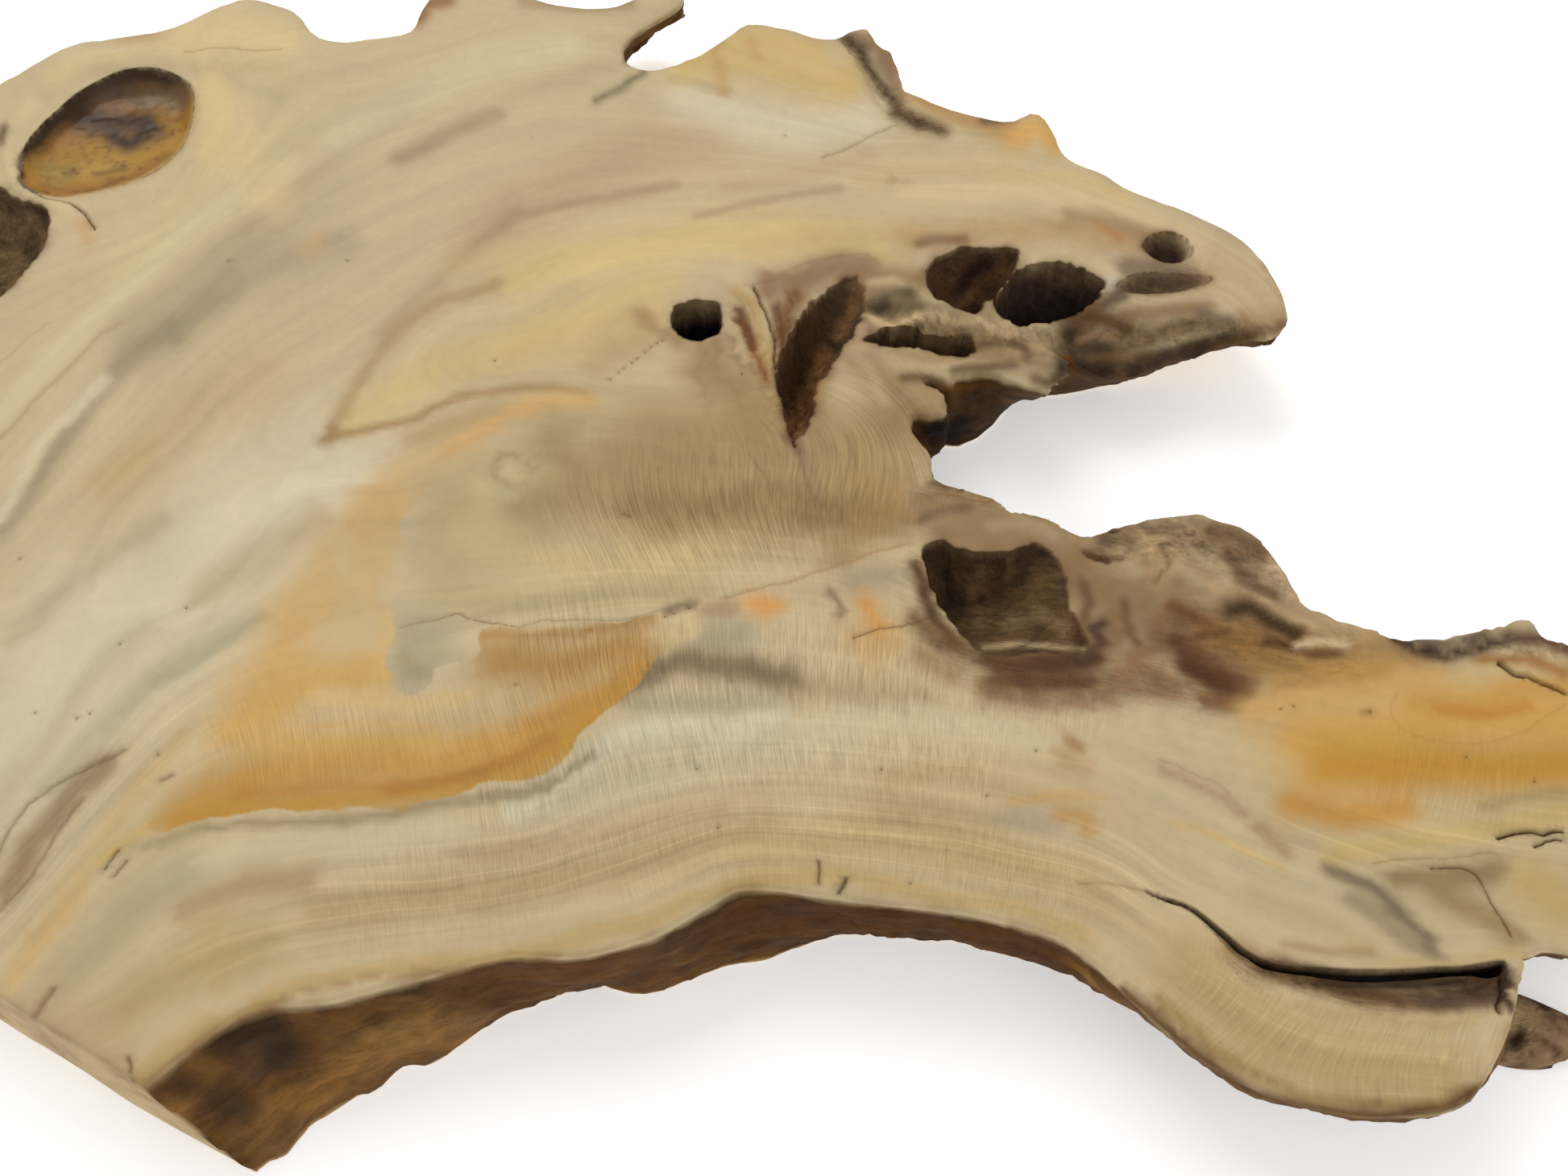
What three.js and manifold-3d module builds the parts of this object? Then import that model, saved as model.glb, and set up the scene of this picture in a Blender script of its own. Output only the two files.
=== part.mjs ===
// Elderberry wood slice: a live-edge slab sawn flat through the gnarled foot of an elder stem.
// One grown piece: the stem came in from the lower left, and two arms leave it on the right with
// an open bay between them. Millimetres, +Z up, X along the slab, Y away from the front edge.
import * as THREE from "three";
import { mergeVertices } from "three/addons/utils/BufferGeometryUtils.js";
import Module from "manifold-3d";

const wasm = await Module();
wasm.setup();

// Driving dimensions
const PLANE = 26; // height of the sanded face over the flat sawn underside
const EDGE_STEP = 4.8; // spacing of the points along the live edge
const RELIEF_STEP = 9.5; // spacing of the points of the sanded face's relief
const WALL_LEVELS = [0, 8, 17, 25, 38]; // heights of the rings that carry the bark side
const WALL_ROUGH = 1.3; // how far the bark side wanders in and out
const WALL_WAVES = [21, 19]; // wavelengths of that wander along X and Y
const LEAN_CURVE = 1.25; // above 1 the bark side leans most near the floor
const BELLY = 1.5; // how far the bark side swells at half its height
const BLOCK_MARGIN = 9; // the relief block passes round the slab by this much
const BLOCK_BELOW = 2; // and lies this far under the sawn underside
const FACE_WAVE = { rise: 0.35, length: 46 }; // faint waviness left by hand sanding
const PIT_LEVELS = [1, 0.55, 0.12, -0.5]; // rings of a pit, as shares of its depth
const PIT_TAPER = 1.4; // above 1 a pit narrows most near its floor
const PIT_ROUGH = { depth: 0.7, waves: [11, 10] };
const KNUCKLE_LEVELS = [0, 0.45, 0.8, 1]; // rings of the knuckle, as shares of its height
const KNUCKLE_SIDES = 16;
const ROLL_HOLD = 1.6; // above 1 a roll keeps its full drop round its place before it fades
const SEED = 17;

// The live edge at the sanded face, anticlockwise from the near corner of the sawn end
const FRONT_EDGE = [
  [-78, -140], [-70, -132], [-63, -127], [-52, -126], [-37, -122], [-23, -118], [-11, -118],
  [-3, -116], [4, -113], [10, -109], [15, -106], [21, -106], [35, -108], [52, -110], [61, -112],
  [69, -115], [75, -120], [82, -128], [92, -137], [105, -143], [120, -144.5], [130, -142.5],
  [137, -135], [142, -127], [146, -118],
];
const ARM_END = [
  [146, -118], [149, -116], [156, -117.5], [163, -115], [169, -109], [176, -106], [183, -98],
  [184.5, -89], [189.5, -82], [190, -73], [185, -65], [177, -60], [170, -55], [165, -53],
];
const BAY_NEAR_SIDE = [
  [165, -53], [163.5, -50], [155, -52], [142, -54], [131, -52], [121, -47], [119, -41], [116, -34],
  [110, -28], [99, -26], [90, -29], [81, -31], [75, -27], [67, -24], [64, -20], [58, -19],
  [54, -17], [52, -9], [49, -3],
];
const BAY_HEAD = [
  [49, -3], [51, 0], [56, 2], [55.5, 6.5], [53, 9.5], [58, 11], [65, 13], [73, 9.5], [78, 7.5],
  [80, 12], [83, 16], [82.5, 20], [84.5, 23.5],
];
const HORN_EDGE = [
  [84.5, 23.5], [87, 19], [97, 18], [103, 20], [113, 22], [121, 20.5], [126, 20], [130, 25],
  [130, 34], [128, 42], [124, 50], [116, 57], [108, 62], [100, 67], [95, 72], [88, 77], [86, 85],
  [84, 92],
];
const FAR_EDGE = [
  [84, 92], [81, 94], [76, 91], [66, 93], [59, 96], [52, 102], [51, 109], [49, 116], [46, 117.5],
  [43, 124], [39, 123], [34, 119], [23, 123], [14, 125], [9, 119], [2, 113], [-10, 107.5],
  [-14, 110], [-16, 115.5], [-11, 124], [-4, 131], [-2, 137], [-4.5, 143], [-10, 142],
];
const STEM_FAR_EDGE = [
  [-10, 142], [-17, 134], [-24, 132], [-37, 134], [-47, 139.5], [-54, 141], [-63, 138],
  [-67, 131], [-69, 124], [-78, 121.5], [-86, 120], [-92, 123], [-97, 130], [-105, 134],
  [-111, 135], [-118, 131], [-127, 124], [-140, 121], [-151, 118], [-158, 111], [-166, 104],
];
const STEM_LEFT_EDGE = [
  [-166, 104], [-175, 96], [-183, 82], [-187, 64], [-190, 42], [-187, 20], [-188, -4],
  [-185, -30], [-185, -55], [-180, -73], [-173, -85],
];
const SAWN_END = [[-173, -85], [-143, -102.5], [-104, -125.5], [-78, -140]];
const EDGE_STRETCHES = [
  FRONT_EDGE, ARM_END, BAY_NEAR_SIDE, BAY_HEAD, HORN_EDGE, FAR_EDGE, STEM_FAR_EDGE,
  STEM_LEFT_EDGE, SAWN_END,
];

// How the bark side leans from the face down to the floor: place, reach and shift there
const LEANS = [
  { at: [-80, -142], reach: 26, shift: [13, -5] }, // sawn end slants under the face
  { at: [-59, -126], reach: 13, shift: [1, -8] }, // foot flares beside the sawn end
  { at: [16, -106], reach: 9, shift: [0, -3] },
  { at: [62, -112], reach: 26, shift: [2, 8] }, // front side is undercut along the bulge
  { at: [88, -133], reach: 17, shift: [5, 6] },
  { at: [112, -144], reach: 20, shift: [0, 7] },
  { at: [157, -116], reach: 12, shift: [1, 11] }, // thin sheet over the knuckle
  { at: [60, 2], reach: 14, shift: [0, 8] }, // side of the horn draws back under the face
  { at: [80, 10], reach: 17, shift: [-1, 14] },
  { at: [124, 22], reach: 25, shift: [-4, 15] },
  { at: [118, 62], reach: 24, shift: [-4, -5] },
  { at: [-4, 138], reach: 14, shift: [-5, 2] },
  { at: [188, -80], reach: 26, shift: [-6, 2] },
  { at: [-188, 30], reach: 60, shift: [5, 0] },
  { at: [-110, 136], reach: 26, shift: [2, -5] },
];

// Relief of the sanded face: place, half widths, turn in degrees and height
const SWELLS = [
  { at: [20, 42], half: [26, 9], turn: 12, height: 1.6 }, // lip over the trough
  { at: [45, 8], half: [9, 16], turn: 0, height: 1.4 },
  { at: [98, -38], half: [20, 9], turn: -20, height: 3 }, // rough lump beside the bay
  { at: [88, 60], half: [32, 9], turn: -38, height: 1.6 }, // back of the horn
  { at: [-133, 110], half: [24, 5], turn: 0, height: 1.8 }, // lip round the knot
  { at: [-108, 86], half: [6, 20], turn: 0, height: 1.6 },
  { at: [-134, 58], half: [16, 5], turn: 25, height: 1.8 },
];
const HOLLOWS = [
  { at: [75, 24], half: [24, 13], turn: 8, height: -5 }, // funnel round the holes of the horn
  { at: [107, 44], half: [16, 7], turn: -20, height: -2.5 },
  { at: [29, 20], half: [9, 22], turn: -14, height: -2.5 },
  { at: [66, -47], half: [22, 15], turn: 0, height: -2.5 }, // soft rim of the three-sided pit
  { at: [126, -127], half: [24, 6], turn: 0, height: -5 }, // weathered slope below the crack
  { at: [64, 104], half: [24, 9], turn: -38, height: -4 }, // ledge behind the bark seam
  { at: [50, 108], half: [5, 13], turn: -28, height: -3 },
  { at: [-80, 126], half: [20, 9], turn: 0, height: -2.5 },
  { at: [150, -56], half: [24, 8], turn: 0, height: -3.5 },
  { at: [-134, 86], half: [20, 20], turn: 0, height: -1.5 },
  { at: [-30, -40], half: [90, 50], turn: 10, height: -0.8 },
];

// Where the face rolls over the edge: place, reach, width of the roll and how far it falls
const ROLLS = [
  { at: [112, -142], reach: 34, width: 16, drop: 7 }, // fat lower lip of the near arm
  { at: [128, 40], reach: 34, width: 18, drop: 8 }, // nose of the horn
  { at: [92, 82], reach: 26, width: 14, drop: 4 },
  { at: [185, -85], reach: 34, width: 20, drop: 8 },
  { at: [-188, 20], reach: 80, width: 26, drop: 9 },
  { at: [-150, 118], reach: 34, width: 16, drop: 5 },
  { at: [-6, 138], reach: 18, width: 12, drop: 5 },
  { at: [60, -22], reach: 26, width: 10, drop: 3 },
  { at: [130, -50], reach: 26, width: 12, drop: 4 },
];

// Where the underside leaves the floor: place, reach and rise
const RISES = [
  { at: [134, 30], reach: 27, rise: 17 },
  { at: [-3, 136], reach: 19, rise: 21 },
  { at: [196, -76], reach: 18, rise: 9 },
  { at: [-196, 60], reach: 20, rise: 9 },
];

// Hollows cut into the wood: rim, depth below the face, floor centre and floor size as a share
const PITS = [
  {
    rim: [[-1, 25], [0, 29], [5, 31], [9, 30], [10, 26], [9, 22], [5, 19.5], [1, 21]],
    depth: 22, floor: [4, 27], share: 0.7, // pith hole
  },
  {
    rim: [
      [38, 39], [32, 35], [26, 28], [22.5, 19], [21.5, 11], [23, 1], [25.5, -7], [28, -3],
      [30, 8], [34, 16], [39, 26], [40.5, 34],
    ],
    depth: 13, floor: [28, 19], share: 0.4, // trough beside the pith
  },
  {
    rim: [[40, 21], [45, 23.5], [52, 24], [57, 23], [63, 24], [64, 21], [55, 18.5], [44, 18.5]],
    depth: 10, floor: [52, 22], share: 0.7,
  },
  {
    rim: [
      [54, 38], [56, 43], [61, 47], [68, 47], [74, 46], [73, 41], [68, 34], [63, 29], [58, 31],
      [55, 34],
    ],
    depth: 15, floor: [64, 40], share: 0.6, // near hole of the horn
  },
  {
    rim: [
      [67, 31], [70, 37], [74, 41.5], [80, 43], [87, 42], [91, 38], [90, 31], [84, 26], [75, 25],
      [69, 27],
    ],
    depth: 21, floor: [79, 36], share: 0.65, // main hole of the horn
  },
  {
    rim: [[103, 49], [106, 51.5], [110, 51], [112, 48], [110, 45], [105, 46]],
    depth: 8, floor: [107, 49], share: 0.6,
  },
  {
    rim: [[96, 37], [100, 40], [107, 40.5], [114, 39], [109, 35.5], [103, 34.5], [98, 35]],
    depth: 7, floor: [104, 38], share: 0.5,
  },
  {
    rim: [
      [50, -34], [53, -32], [58, -34], [65, -34.5], [72, -33], [76, -38], [77, -47], [79, -57],
      [70, -57.5], [61, -58], [55, -51], [51, -43],
    ],
    depth: 18, floor: [60, -41], share: 0.45, // three-sided pit
  },
  {
    rim: [
      [-151, 74], [-152, 82], [-148, 93], [-142, 102], [-134, 106.5], [-125, 106.5], [-118, 102],
      [-115, 90], [-116, 79], [-122, 71], [-131, 66], [-142, 64], [-149, 68],
    ],
    depth: 5, floor: [-134, 86], share: 0.88, // bowl of the knot
  },
  {
    rim: [
      [-143, 93], [-139, 100], [-131, 103], [-123, 101], [-120, 96], [-123, 90], [-131, 88],
      [-139, 89],
    ],
    depth: 12, floor: [-131, 96], share: 0.6, // glossy pocket in the knot
  },
  {
    rim: [
      [-155, 67], [-149, 63], [-141, 58], [-139, 52], [-141, 42], [-145, 33], [-151, 26.5],
      [-159, 25], [-168, 32], [-173, 44], [-171, 56], [-164, 65],
    ],
    depth: 13, floor: [-156, 47], share: 0.6, // pit beside the knot
  },
  {
    rim: [
      [84, -107], [92, -110.3], [100, -116.3], [109, -119.8], [122, -120.2], [134, -120.2],
      [142, -118.8], [141.5, -122], [134, -123.2], [122, -123.6], [110, -123], [101, -119.2],
      [92.5, -112.6],
    ],
    depth: 17, floor: [116, -119.5], share: 0.86, // crack along the near arm
  },
];

// Low knuckle that stands out of the foot of the near arm's end
const KNUCKLE = { at: [152, -119], half: [13, 10.5], height: 10 };

function falloff(at, reach, x, y) {
  const far = Math.hypot(x - at[0], y - at[1]) / reach;
  return Math.exp(-far * far);
}

// Smooth seeded wander in three dimensions: a few turned waves summed, from -1 to 1
function wander(x, y, z, wavelength, seed) {
  let sum = 0;
  for (let wave = 0; wave < 4; wave += 1) {
    const heading = 1.7 * wave + 0.9 * seed;
    const pace = (2 * Math.PI) / (wavelength * (1 + 0.31 * wave));
    const along = x * Math.cos(heading) + y * Math.sin(heading);
    sum += Math.sin(pace * (along + 0.6 * z * Math.cos(seed + wave)) + 2.3 * seed * (wave + 1));
  }
  return sum / 4;
}

// Points at an even spacing along a smooth curve through hand-placed points
function smoothPoints(points, step, closed) {
  const knots = points.map(([x, y]) => new THREE.Vector3(x, y, 0));
  const curve = new THREE.CatmullRomCurve3(knots, closed, "centripetal");
  curve.arcLengthDivisions = 40 * points.length;
  const count = Math.max(6, Math.round(curve.getLength() / step));
  return curve.getSpacedPoints(count).slice(0, count).map((p) => [p.x, p.y]);
}

function anticlockwise(points) {
  const turnsClockwise = THREE.ShapeUtils.isClockWise(points.map(([x, y]) => ({ x, y })));
  return turnsClockwise ? points.toReversed() : points;
}

const liveEdge = EDGE_STRETCHES.flatMap((stretch) => smoothPoints(stretch, EDGE_STEP, false));

function edgeDistance(x, y) {
  let nearest = Infinity;
  for (let i = 0; i < liveEdge.length; i += 1) {
    const [ax, ay] = liveEdge[i];
    const [bx, by] = liveEdge[(i + 1) % liveEdge.length];
    const run = (bx - ax) ** 2 + (by - ay) ** 2;
    const along = Math.min(1, Math.max(0, ((x - ax) * (bx - ax) + (y - ay) * (by - ay)) / run));
    nearest = Math.min(nearest, Math.hypot(x - ax - along * (bx - ax), y - ay - along * (by - ay)));
  }
  return nearest;
}

function mound({ at, half, turn, height }, x, y) {
  const angle = THREE.MathUtils.degToRad(turn);
  const along = (x - at[0]) * Math.cos(angle) + (y - at[1]) * Math.sin(angle);
  const across = (y - at[1]) * Math.cos(angle) - (x - at[0]) * Math.sin(angle);
  return height * Math.exp(-((along / half[0]) ** 2) - (across / half[1]) ** 2);
}

function faceHeight(x, y) {
  const inset = edgeDistance(x, y);
  let height = PLANE + FACE_WAVE.rise * wander(x, y, 0, FACE_WAVE.length, SEED);
  for (const shape of [...SWELLS, ...HOLLOWS]) {
    height += mound(shape, x, y);
  }
  for (const { at, reach, width, drop } of ROLLS) {
    const fall = 1 - Math.min(1, inset / width);
    height -= drop * fall * fall * Math.min(1, ROLL_HOLD * falloff(at, reach, x, y));
  }
  return height;
}

function undersideHeight(x, y) {
  let height = -BLOCK_BELOW;
  for (const { at, reach, rise } of RISES) {
    height += rise * falloff(at, reach, x, y);
  }
  return height;
}

// Place of a live-edge point at a height: leaning, bellied and roughened below the face
function wallPoint([x, y], z) {
  const depth = Math.min(1, Math.max(0, (PLANE - z) / PLANE));
  let px = x;
  let py = y;
  for (const { at, reach, shift } of LEANS) {
    const share = falloff(at, reach, x, y) * depth ** LEAN_CURVE;
    px += shift[0] * share;
    py += shift[1] * share;
  }
  const rough = WALL_ROUGH * Math.min(1, 2.5 * depth);
  px += rough * wander(x, y, z, WALL_WAVES[0], SEED + 1);
  py += rough * wander(x, y, z, WALL_WAVES[1], SEED + 2);
  return [px, py, z];
}

// Swells each ring outwards at half height, along the edge's own normal
function bellied(ring, z) {
  const swell = BELLY * Math.max(0, Math.sin((Math.PI * (PLANE - z)) / PLANE));
  return ring.map(([x, y], i) => {
    const before = ring[(i + ring.length - 2) % ring.length];
    const after = ring[(i + 2) % ring.length];
    const run = Math.hypot(after[0] - before[0], after[1] - before[1]);
    const share = run > 2 * EDGE_STEP ? swell : 0;
    return [x + (share * (after[1] - before[1])) / run, y - (share * (after[0] - before[0])) / run, z];
  });
}

function solidFrom(positions, triangles) {
  const vertProperties = new Float32Array(positions);
  const triVerts = new Uint32Array(triangles);
  return new wasm.Manifold(new wasm.Mesh({ numProp: 3, vertProperties, triVerts }));
}

// Closed solid through rings of equal length, lowest ring first, each anticlockwise from above
function loft(rings) {
  const count = rings[0].length;
  const triangles = [];
  for (let level = 0; level + 1 < rings.length; level += 1) {
    for (let i = 0; i < count; i += 1) {
      const here = level * count + i;
      const next = level * count + ((i + 1) % count);
      triangles.push([here, next, next + count], [here, next + count, here + count]);
    }
  }
  const flat = (ring) => ring.map(([x, y]) => new THREE.Vector2(x, y));
  const top = (rings.length - 1) * count;
  for (const [a, b, c] of THREE.ShapeUtils.triangulateShape(flat(rings[0]), [])) {
    triangles.push([a, c, b]);
  }
  for (const [a, b, c] of THREE.ShapeUtils.triangulateShape(flat(rings.at(-1)), [])) {
    triangles.push([top + a, top + b, top + c]);
  }
  return solidFrom(rings.flat(2), triangles.flat());
}

function barkSide() {
  return loft(WALL_LEVELS.map((z) => bellied(liveEdge.map((point) => wallPoint(point, z)), z)));
}

// Block between the relief of the face and the underside, wider than the slab all round
function reliefBlock() {
  const box = new THREE.Box2().setFromPoints(liveEdge.map(([x, y]) => new THREE.Vector2(x, y)));
  const size = box.expandByScalar(BLOCK_MARGIN).getSize(new THREE.Vector2());
  const centre = box.getCenter(new THREE.Vector2());
  const columns = Math.ceil(size.x / RELIEF_STEP);
  const rows = Math.ceil(size.y / RELIEF_STEP);
  const plain = new THREE.BoxGeometry(size.x, size.y, 1, columns, rows, 1);
  plain.translate(centre.x, centre.y, 0);
  plain.deleteAttribute("normal");
  plain.deleteAttribute("uv");
  const block = mergeVertices(plain);
  const corners = block.attributes.position;
  for (let i = 0; i < corners.count; i += 1) {
    const surface = corners.getZ(i) > 0 ? faceHeight : undersideHeight;
    corners.setZ(i, surface(corners.getX(i), corners.getY(i)));
  }
  return solidFrom(corners.array, block.index.array);
}

// A pit narrows from its rim to its floor, with walls that wander like torn wood
function pit({ rim, depth, floor, share }) {
  const outline = anticlockwise(smoothPoints(rim, EDGE_STEP, true));
  const rings = PIT_LEVELS.map((level) => {
    const part = Math.max(0, level);
    const scale = 1 - (1 - share) * part ** PIT_TAPER;
    const rough = PIT_ROUGH.depth * Math.min(1, 2 * part);
    const z = PLANE - depth * level;
    return outline.map(([x, y]) => [
      floor[0] + (x - floor[0]) * scale + rough * wander(x, y, z, PIT_ROUGH.waves[0], SEED + 3),
      floor[1] + (y - floor[1]) * scale + rough * wander(x, y, z, PIT_ROUGH.waves[1], SEED + 4),
      z,
    ]);
  });
  return loft(rings);
}

function knuckle({ at, half, height }) {
  const turn = (2 * Math.PI) / KNUCKLE_SIDES;
  const bearings = Array.from({ length: KNUCKLE_SIDES }, (_, i) => i * turn);
  const rings = KNUCKLE_LEVELS.map((level) => {
    const spread = Math.sqrt(1 - 0.85 * level * level);
    return bearings.map((bearing) => [
      at[0] + half[0] * spread * Math.cos(bearing),
      at[1] + half[1] * spread * Math.sin(bearing),
      height * level,
    ]);
  });
  return loft(rings);
}

function woodSlice() {
  let slice = barkSide().intersect(reliefBlock());
  slice = slice.add(knuckle(KNUCKLE));
  for (const shape of PITS) {
    slice = slice.subtract(pit(shape));
  }
  return slice;
}

function meshFrom(solid, name, material) {
  const { vertProperties, triVerts } = solid.getMesh();
  const geometry = new THREE.BufferGeometry();
  geometry.setAttribute("position", new THREE.BufferAttribute(vertProperties, 3));
  geometry.setIndex(new THREE.BufferAttribute(triVerts, 1));
  geometry.computeVertexNormals();
  const mesh = new THREE.Mesh(geometry, material);
  mesh.name = name;
  return mesh;
}

const elderwood = new THREE.MeshStandardMaterial({ color: 0xcdb996, roughness: 0.6, metalness: 0 });
const slice = meshFrom(woodSlice(), "elderberry_wood_slice", elderwood);

// The origin is the middle of the bounding box's underside
slice.geometry.computeBoundingBox();
const middle = slice.geometry.boundingBox.getCenter(new THREE.Vector3());
slice.position.set(-middle.x, -middle.y, -slice.geometry.boundingBox.min.z);

const group = new THREE.Group();
group.add(slice);

export default group;
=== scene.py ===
"""Elderberry wood slice: a sanded live-edge slab of gnarled elder, dressed over its solid."""
import math

import bpy
import numpy as np
from mathutils.geometry import delaunay_2d_cdt
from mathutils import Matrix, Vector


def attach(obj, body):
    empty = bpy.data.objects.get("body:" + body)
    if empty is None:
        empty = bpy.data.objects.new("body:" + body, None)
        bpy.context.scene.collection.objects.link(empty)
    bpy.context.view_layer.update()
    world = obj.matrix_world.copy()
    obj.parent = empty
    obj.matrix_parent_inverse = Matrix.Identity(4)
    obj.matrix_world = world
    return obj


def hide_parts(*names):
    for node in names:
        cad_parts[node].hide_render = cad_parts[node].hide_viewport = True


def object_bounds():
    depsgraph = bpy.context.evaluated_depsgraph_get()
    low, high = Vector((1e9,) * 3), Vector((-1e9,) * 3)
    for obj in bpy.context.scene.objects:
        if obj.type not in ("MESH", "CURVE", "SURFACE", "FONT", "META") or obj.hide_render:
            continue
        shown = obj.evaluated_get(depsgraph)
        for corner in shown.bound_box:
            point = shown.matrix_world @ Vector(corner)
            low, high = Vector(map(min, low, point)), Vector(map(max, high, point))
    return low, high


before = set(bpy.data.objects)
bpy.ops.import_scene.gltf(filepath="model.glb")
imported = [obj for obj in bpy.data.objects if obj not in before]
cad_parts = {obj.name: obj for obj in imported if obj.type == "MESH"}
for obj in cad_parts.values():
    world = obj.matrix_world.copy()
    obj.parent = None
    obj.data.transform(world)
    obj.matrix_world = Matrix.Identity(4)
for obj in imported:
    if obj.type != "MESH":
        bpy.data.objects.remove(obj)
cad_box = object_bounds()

# The live edge
# The outer line of the slab, as the bark side meets the sanded face: millimetres, anticlockwise
# from the near corner of the sawn end. Each stretch has its own raggedness.
EDGE_SPACING = 1.25
SPAN_STEPS = 24  # steps of a smooth line in each span between two of its points
TATTER = 0.6
TATTER_WIDTHS = (3.1, 1.3)
FRONT_EDGE = [
    (-78, -140), (-70, -132), (-63, -127), (-52, -126), (-37, -122), (-23, -118), (-11, -118),
    (-3, -116), (4, -113), (10, -109), (15, -106), (21, -106), (35, -108), (52, -110), (61, -112),
    (69, -115), (75, -120), (82, -128), (92, -137), (105, -143), (120, -144.5), (130, -142.5),
    (137, -135), (142, -127), (146, -118),
]
ARM_END = [
    (146, -118), (149, -116), (156, -117.5), (163, -115), (169, -109), (176, -106), (183, -98),
    (184.5, -89), (189.5, -82), (190, -73), (185, -65), (177, -60), (170, -55), (165, -53),
]
BAY_NEAR_SIDE = [
    (165, -53), (163.5, -50), (155, -52), (142, -54), (131, -52), (121, -47), (119, -41),
    (116, -34), (110, -28), (99, -26), (90, -29), (81, -31), (75, -27), (67, -24), (65, -21),
    (58, -19), (54, -17), (52, -9), (49, -3),
]
BAY_HEAD = [
    (49, -3), (50, 0), (53, 0), (56, 1), (56, 6), (54, 7.5), (52, 9), (53, 11), (57, 10.3),
    (60, 12), (64, 13), (68, 12), (73, 9.3), (78, 7), (79, 10), (81, 10), (79, 12), (82, 14),
    (83.5, 16), (82, 18), (84, 20), (81, 22), (84.5, 23.5),
]
HORN_EDGE = [
    (84.5, 23.5), (87, 19), (97, 18), (103, 20.5), (113, 23.5), (121, 23), (126, 22.2), (130, 26),
    (130.6, 34), (128.8, 42.5), (124.6, 50.5), (116, 57.4), (108, 62), (100, 67), (95, 72),
    (88, 77), (86, 85), (84, 92),
]
FAR_EDGE = [
    (84, 92), (81, 94), (76, 91), (66, 93), (59, 96), (52, 102), (51, 109), (49, 116),
    (46, 117.5), (43, 124), (39, 123), (34, 119), (23, 123), (14, 125), (9, 119), (2, 113),
    (-10, 107.5), (-14, 110), (-16, 115.5), (-11, 124), (-4, 131), (-2, 137), (-4.5, 143),
    (-10, 142),
]
STEM_FAR_EDGE = [
    (-10, 142), (-17, 134), (-24, 132), (-37, 134), (-47, 139.5), (-54, 141), (-63, 138),
    (-67, 131), (-69, 124), (-78, 121.5), (-86, 120), (-92, 123), (-97, 130), (-105, 134),
    (-111, 135), (-118, 131), (-127, 124), (-140, 121), (-151, 118), (-158, 111), (-166, 104),
]
STEM_LEFT_EDGE = [
    (-166, 104), (-175, 96), (-183, 82), (-187, 64), (-190, 42), (-187, 20), (-188, -4),
    (-185, -30), (-185, -55), (-180, -73), (-173, -85),
]
SAWN_END = [(-173, -85), (-143, -102.5), (-104, -125.5), (-78, -140)]
STRETCHES = [  # the line, and how ragged it is in mm
    (FRONT_EDGE, 0.16), (ARM_END, 0.7), (BAY_NEAR_SIDE, 0.6), (BAY_HEAD, 0.55), (HORN_EDGE, 0.25),
    (FAR_EDGE, 0.4), (STEM_FAR_EDGE, 0.35), (STEM_LEFT_EDGE, 0.4), (SAWN_END, 0.04),
]


def even_points(points, spacing, closed=False):
    """Points at an even spacing on a smooth line: a centripetal Catmull-Rom curve, a cubic in each
    span whose end slopes follow the square roots of the spans, then cut by arc length."""
    p = np.asarray(points, float)
    if closed:
        p = np.concatenate([p[-1:], p, p[:2]])
    else:
        p = np.concatenate([2 * p[:1] - p[1:2], p, 2 * p[-1:] - p[-2:-1]])
    a, b, c, d = p[:-3], p[1:-2], p[2:-1], p[3:]
    first, span, last = (
        np.linalg.norm(end - start, axis=1)[:, None] ** 0.5
        for start, end in ((a, b), (b, c), (c, d))
    )
    leave = ((b - a) / first - (c - a) / (first + span) + (c - b) / span) * span
    arrive = ((c - b) / span - (d - b) / (span + last) + (d - c) / last) * span
    t = np.linspace(0, 1, SPAN_STEPS, endpoint=False)[None, :, None]
    b, c, leave, arrive = (v[:, None, :] for v in (b, c, leave, arrive))
    curve = b + leave * t + (3 * (c - b) - 2 * leave - arrive) * t**2
    curve = (curve + (2 * (b - c) + leave + arrive) * t**3).reshape(-1, 2)
    curve = np.concatenate([curve, p[-2:-1] if not closed else curve[:1]])
    run = np.concatenate([[0], np.cumsum(np.linalg.norm(np.diff(curve, axis=0), axis=1))])
    count = max(6, round(run[-1] / spacing))
    stops = np.linspace(0, run[-1], count, endpoint=False)
    return np.stack([np.interp(stops, run, curve[:, 0]), np.interp(stops, run, curve[:, 1])], 1)


def cloud(places, size, seed):
    """Smooth random field from -1 to 1: hashed values at the corners of cells of that size (one
    number, or one each way), blended by the smooth step across the cell."""
    cells = places / np.asarray(size, float)
    low = np.floor(cells).astype(np.int64)
    part = cells - low
    part = part * part * (3 - 2 * part)
    total = np.zeros(len(places))
    for corner in np.ndindex(*(2,) * places.shape[1]):
        key = (low + corner) @ np.array([73856093, 19349663, 83492791])[: places.shape[1]]
        key = (key + 668265263 * seed) & 0xFFFFFFFF
        key = ((key ^ (key >> 15)) * 2246822519) & 0xFFFFFFFF
        key = ((key ^ (key >> 13)) * 3266489917) & 0xFFFFFFFF
        value = ((key ^ (key >> 16)) & 0xFFFF) / 32767.5 - 1
        total += value * np.prod(np.where(corner, part, 1 - part), axis=1)
    return total


def rough(places, size, seed, octaves=3):
    """Cloud upon cloud: each is half as wide and 0.55 as strong as the one before."""
    layers = [0.55**k * cloud(places, np.asarray(size) / 2**k, seed + k) for k in range(octaves)]
    return sum(layers)


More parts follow.
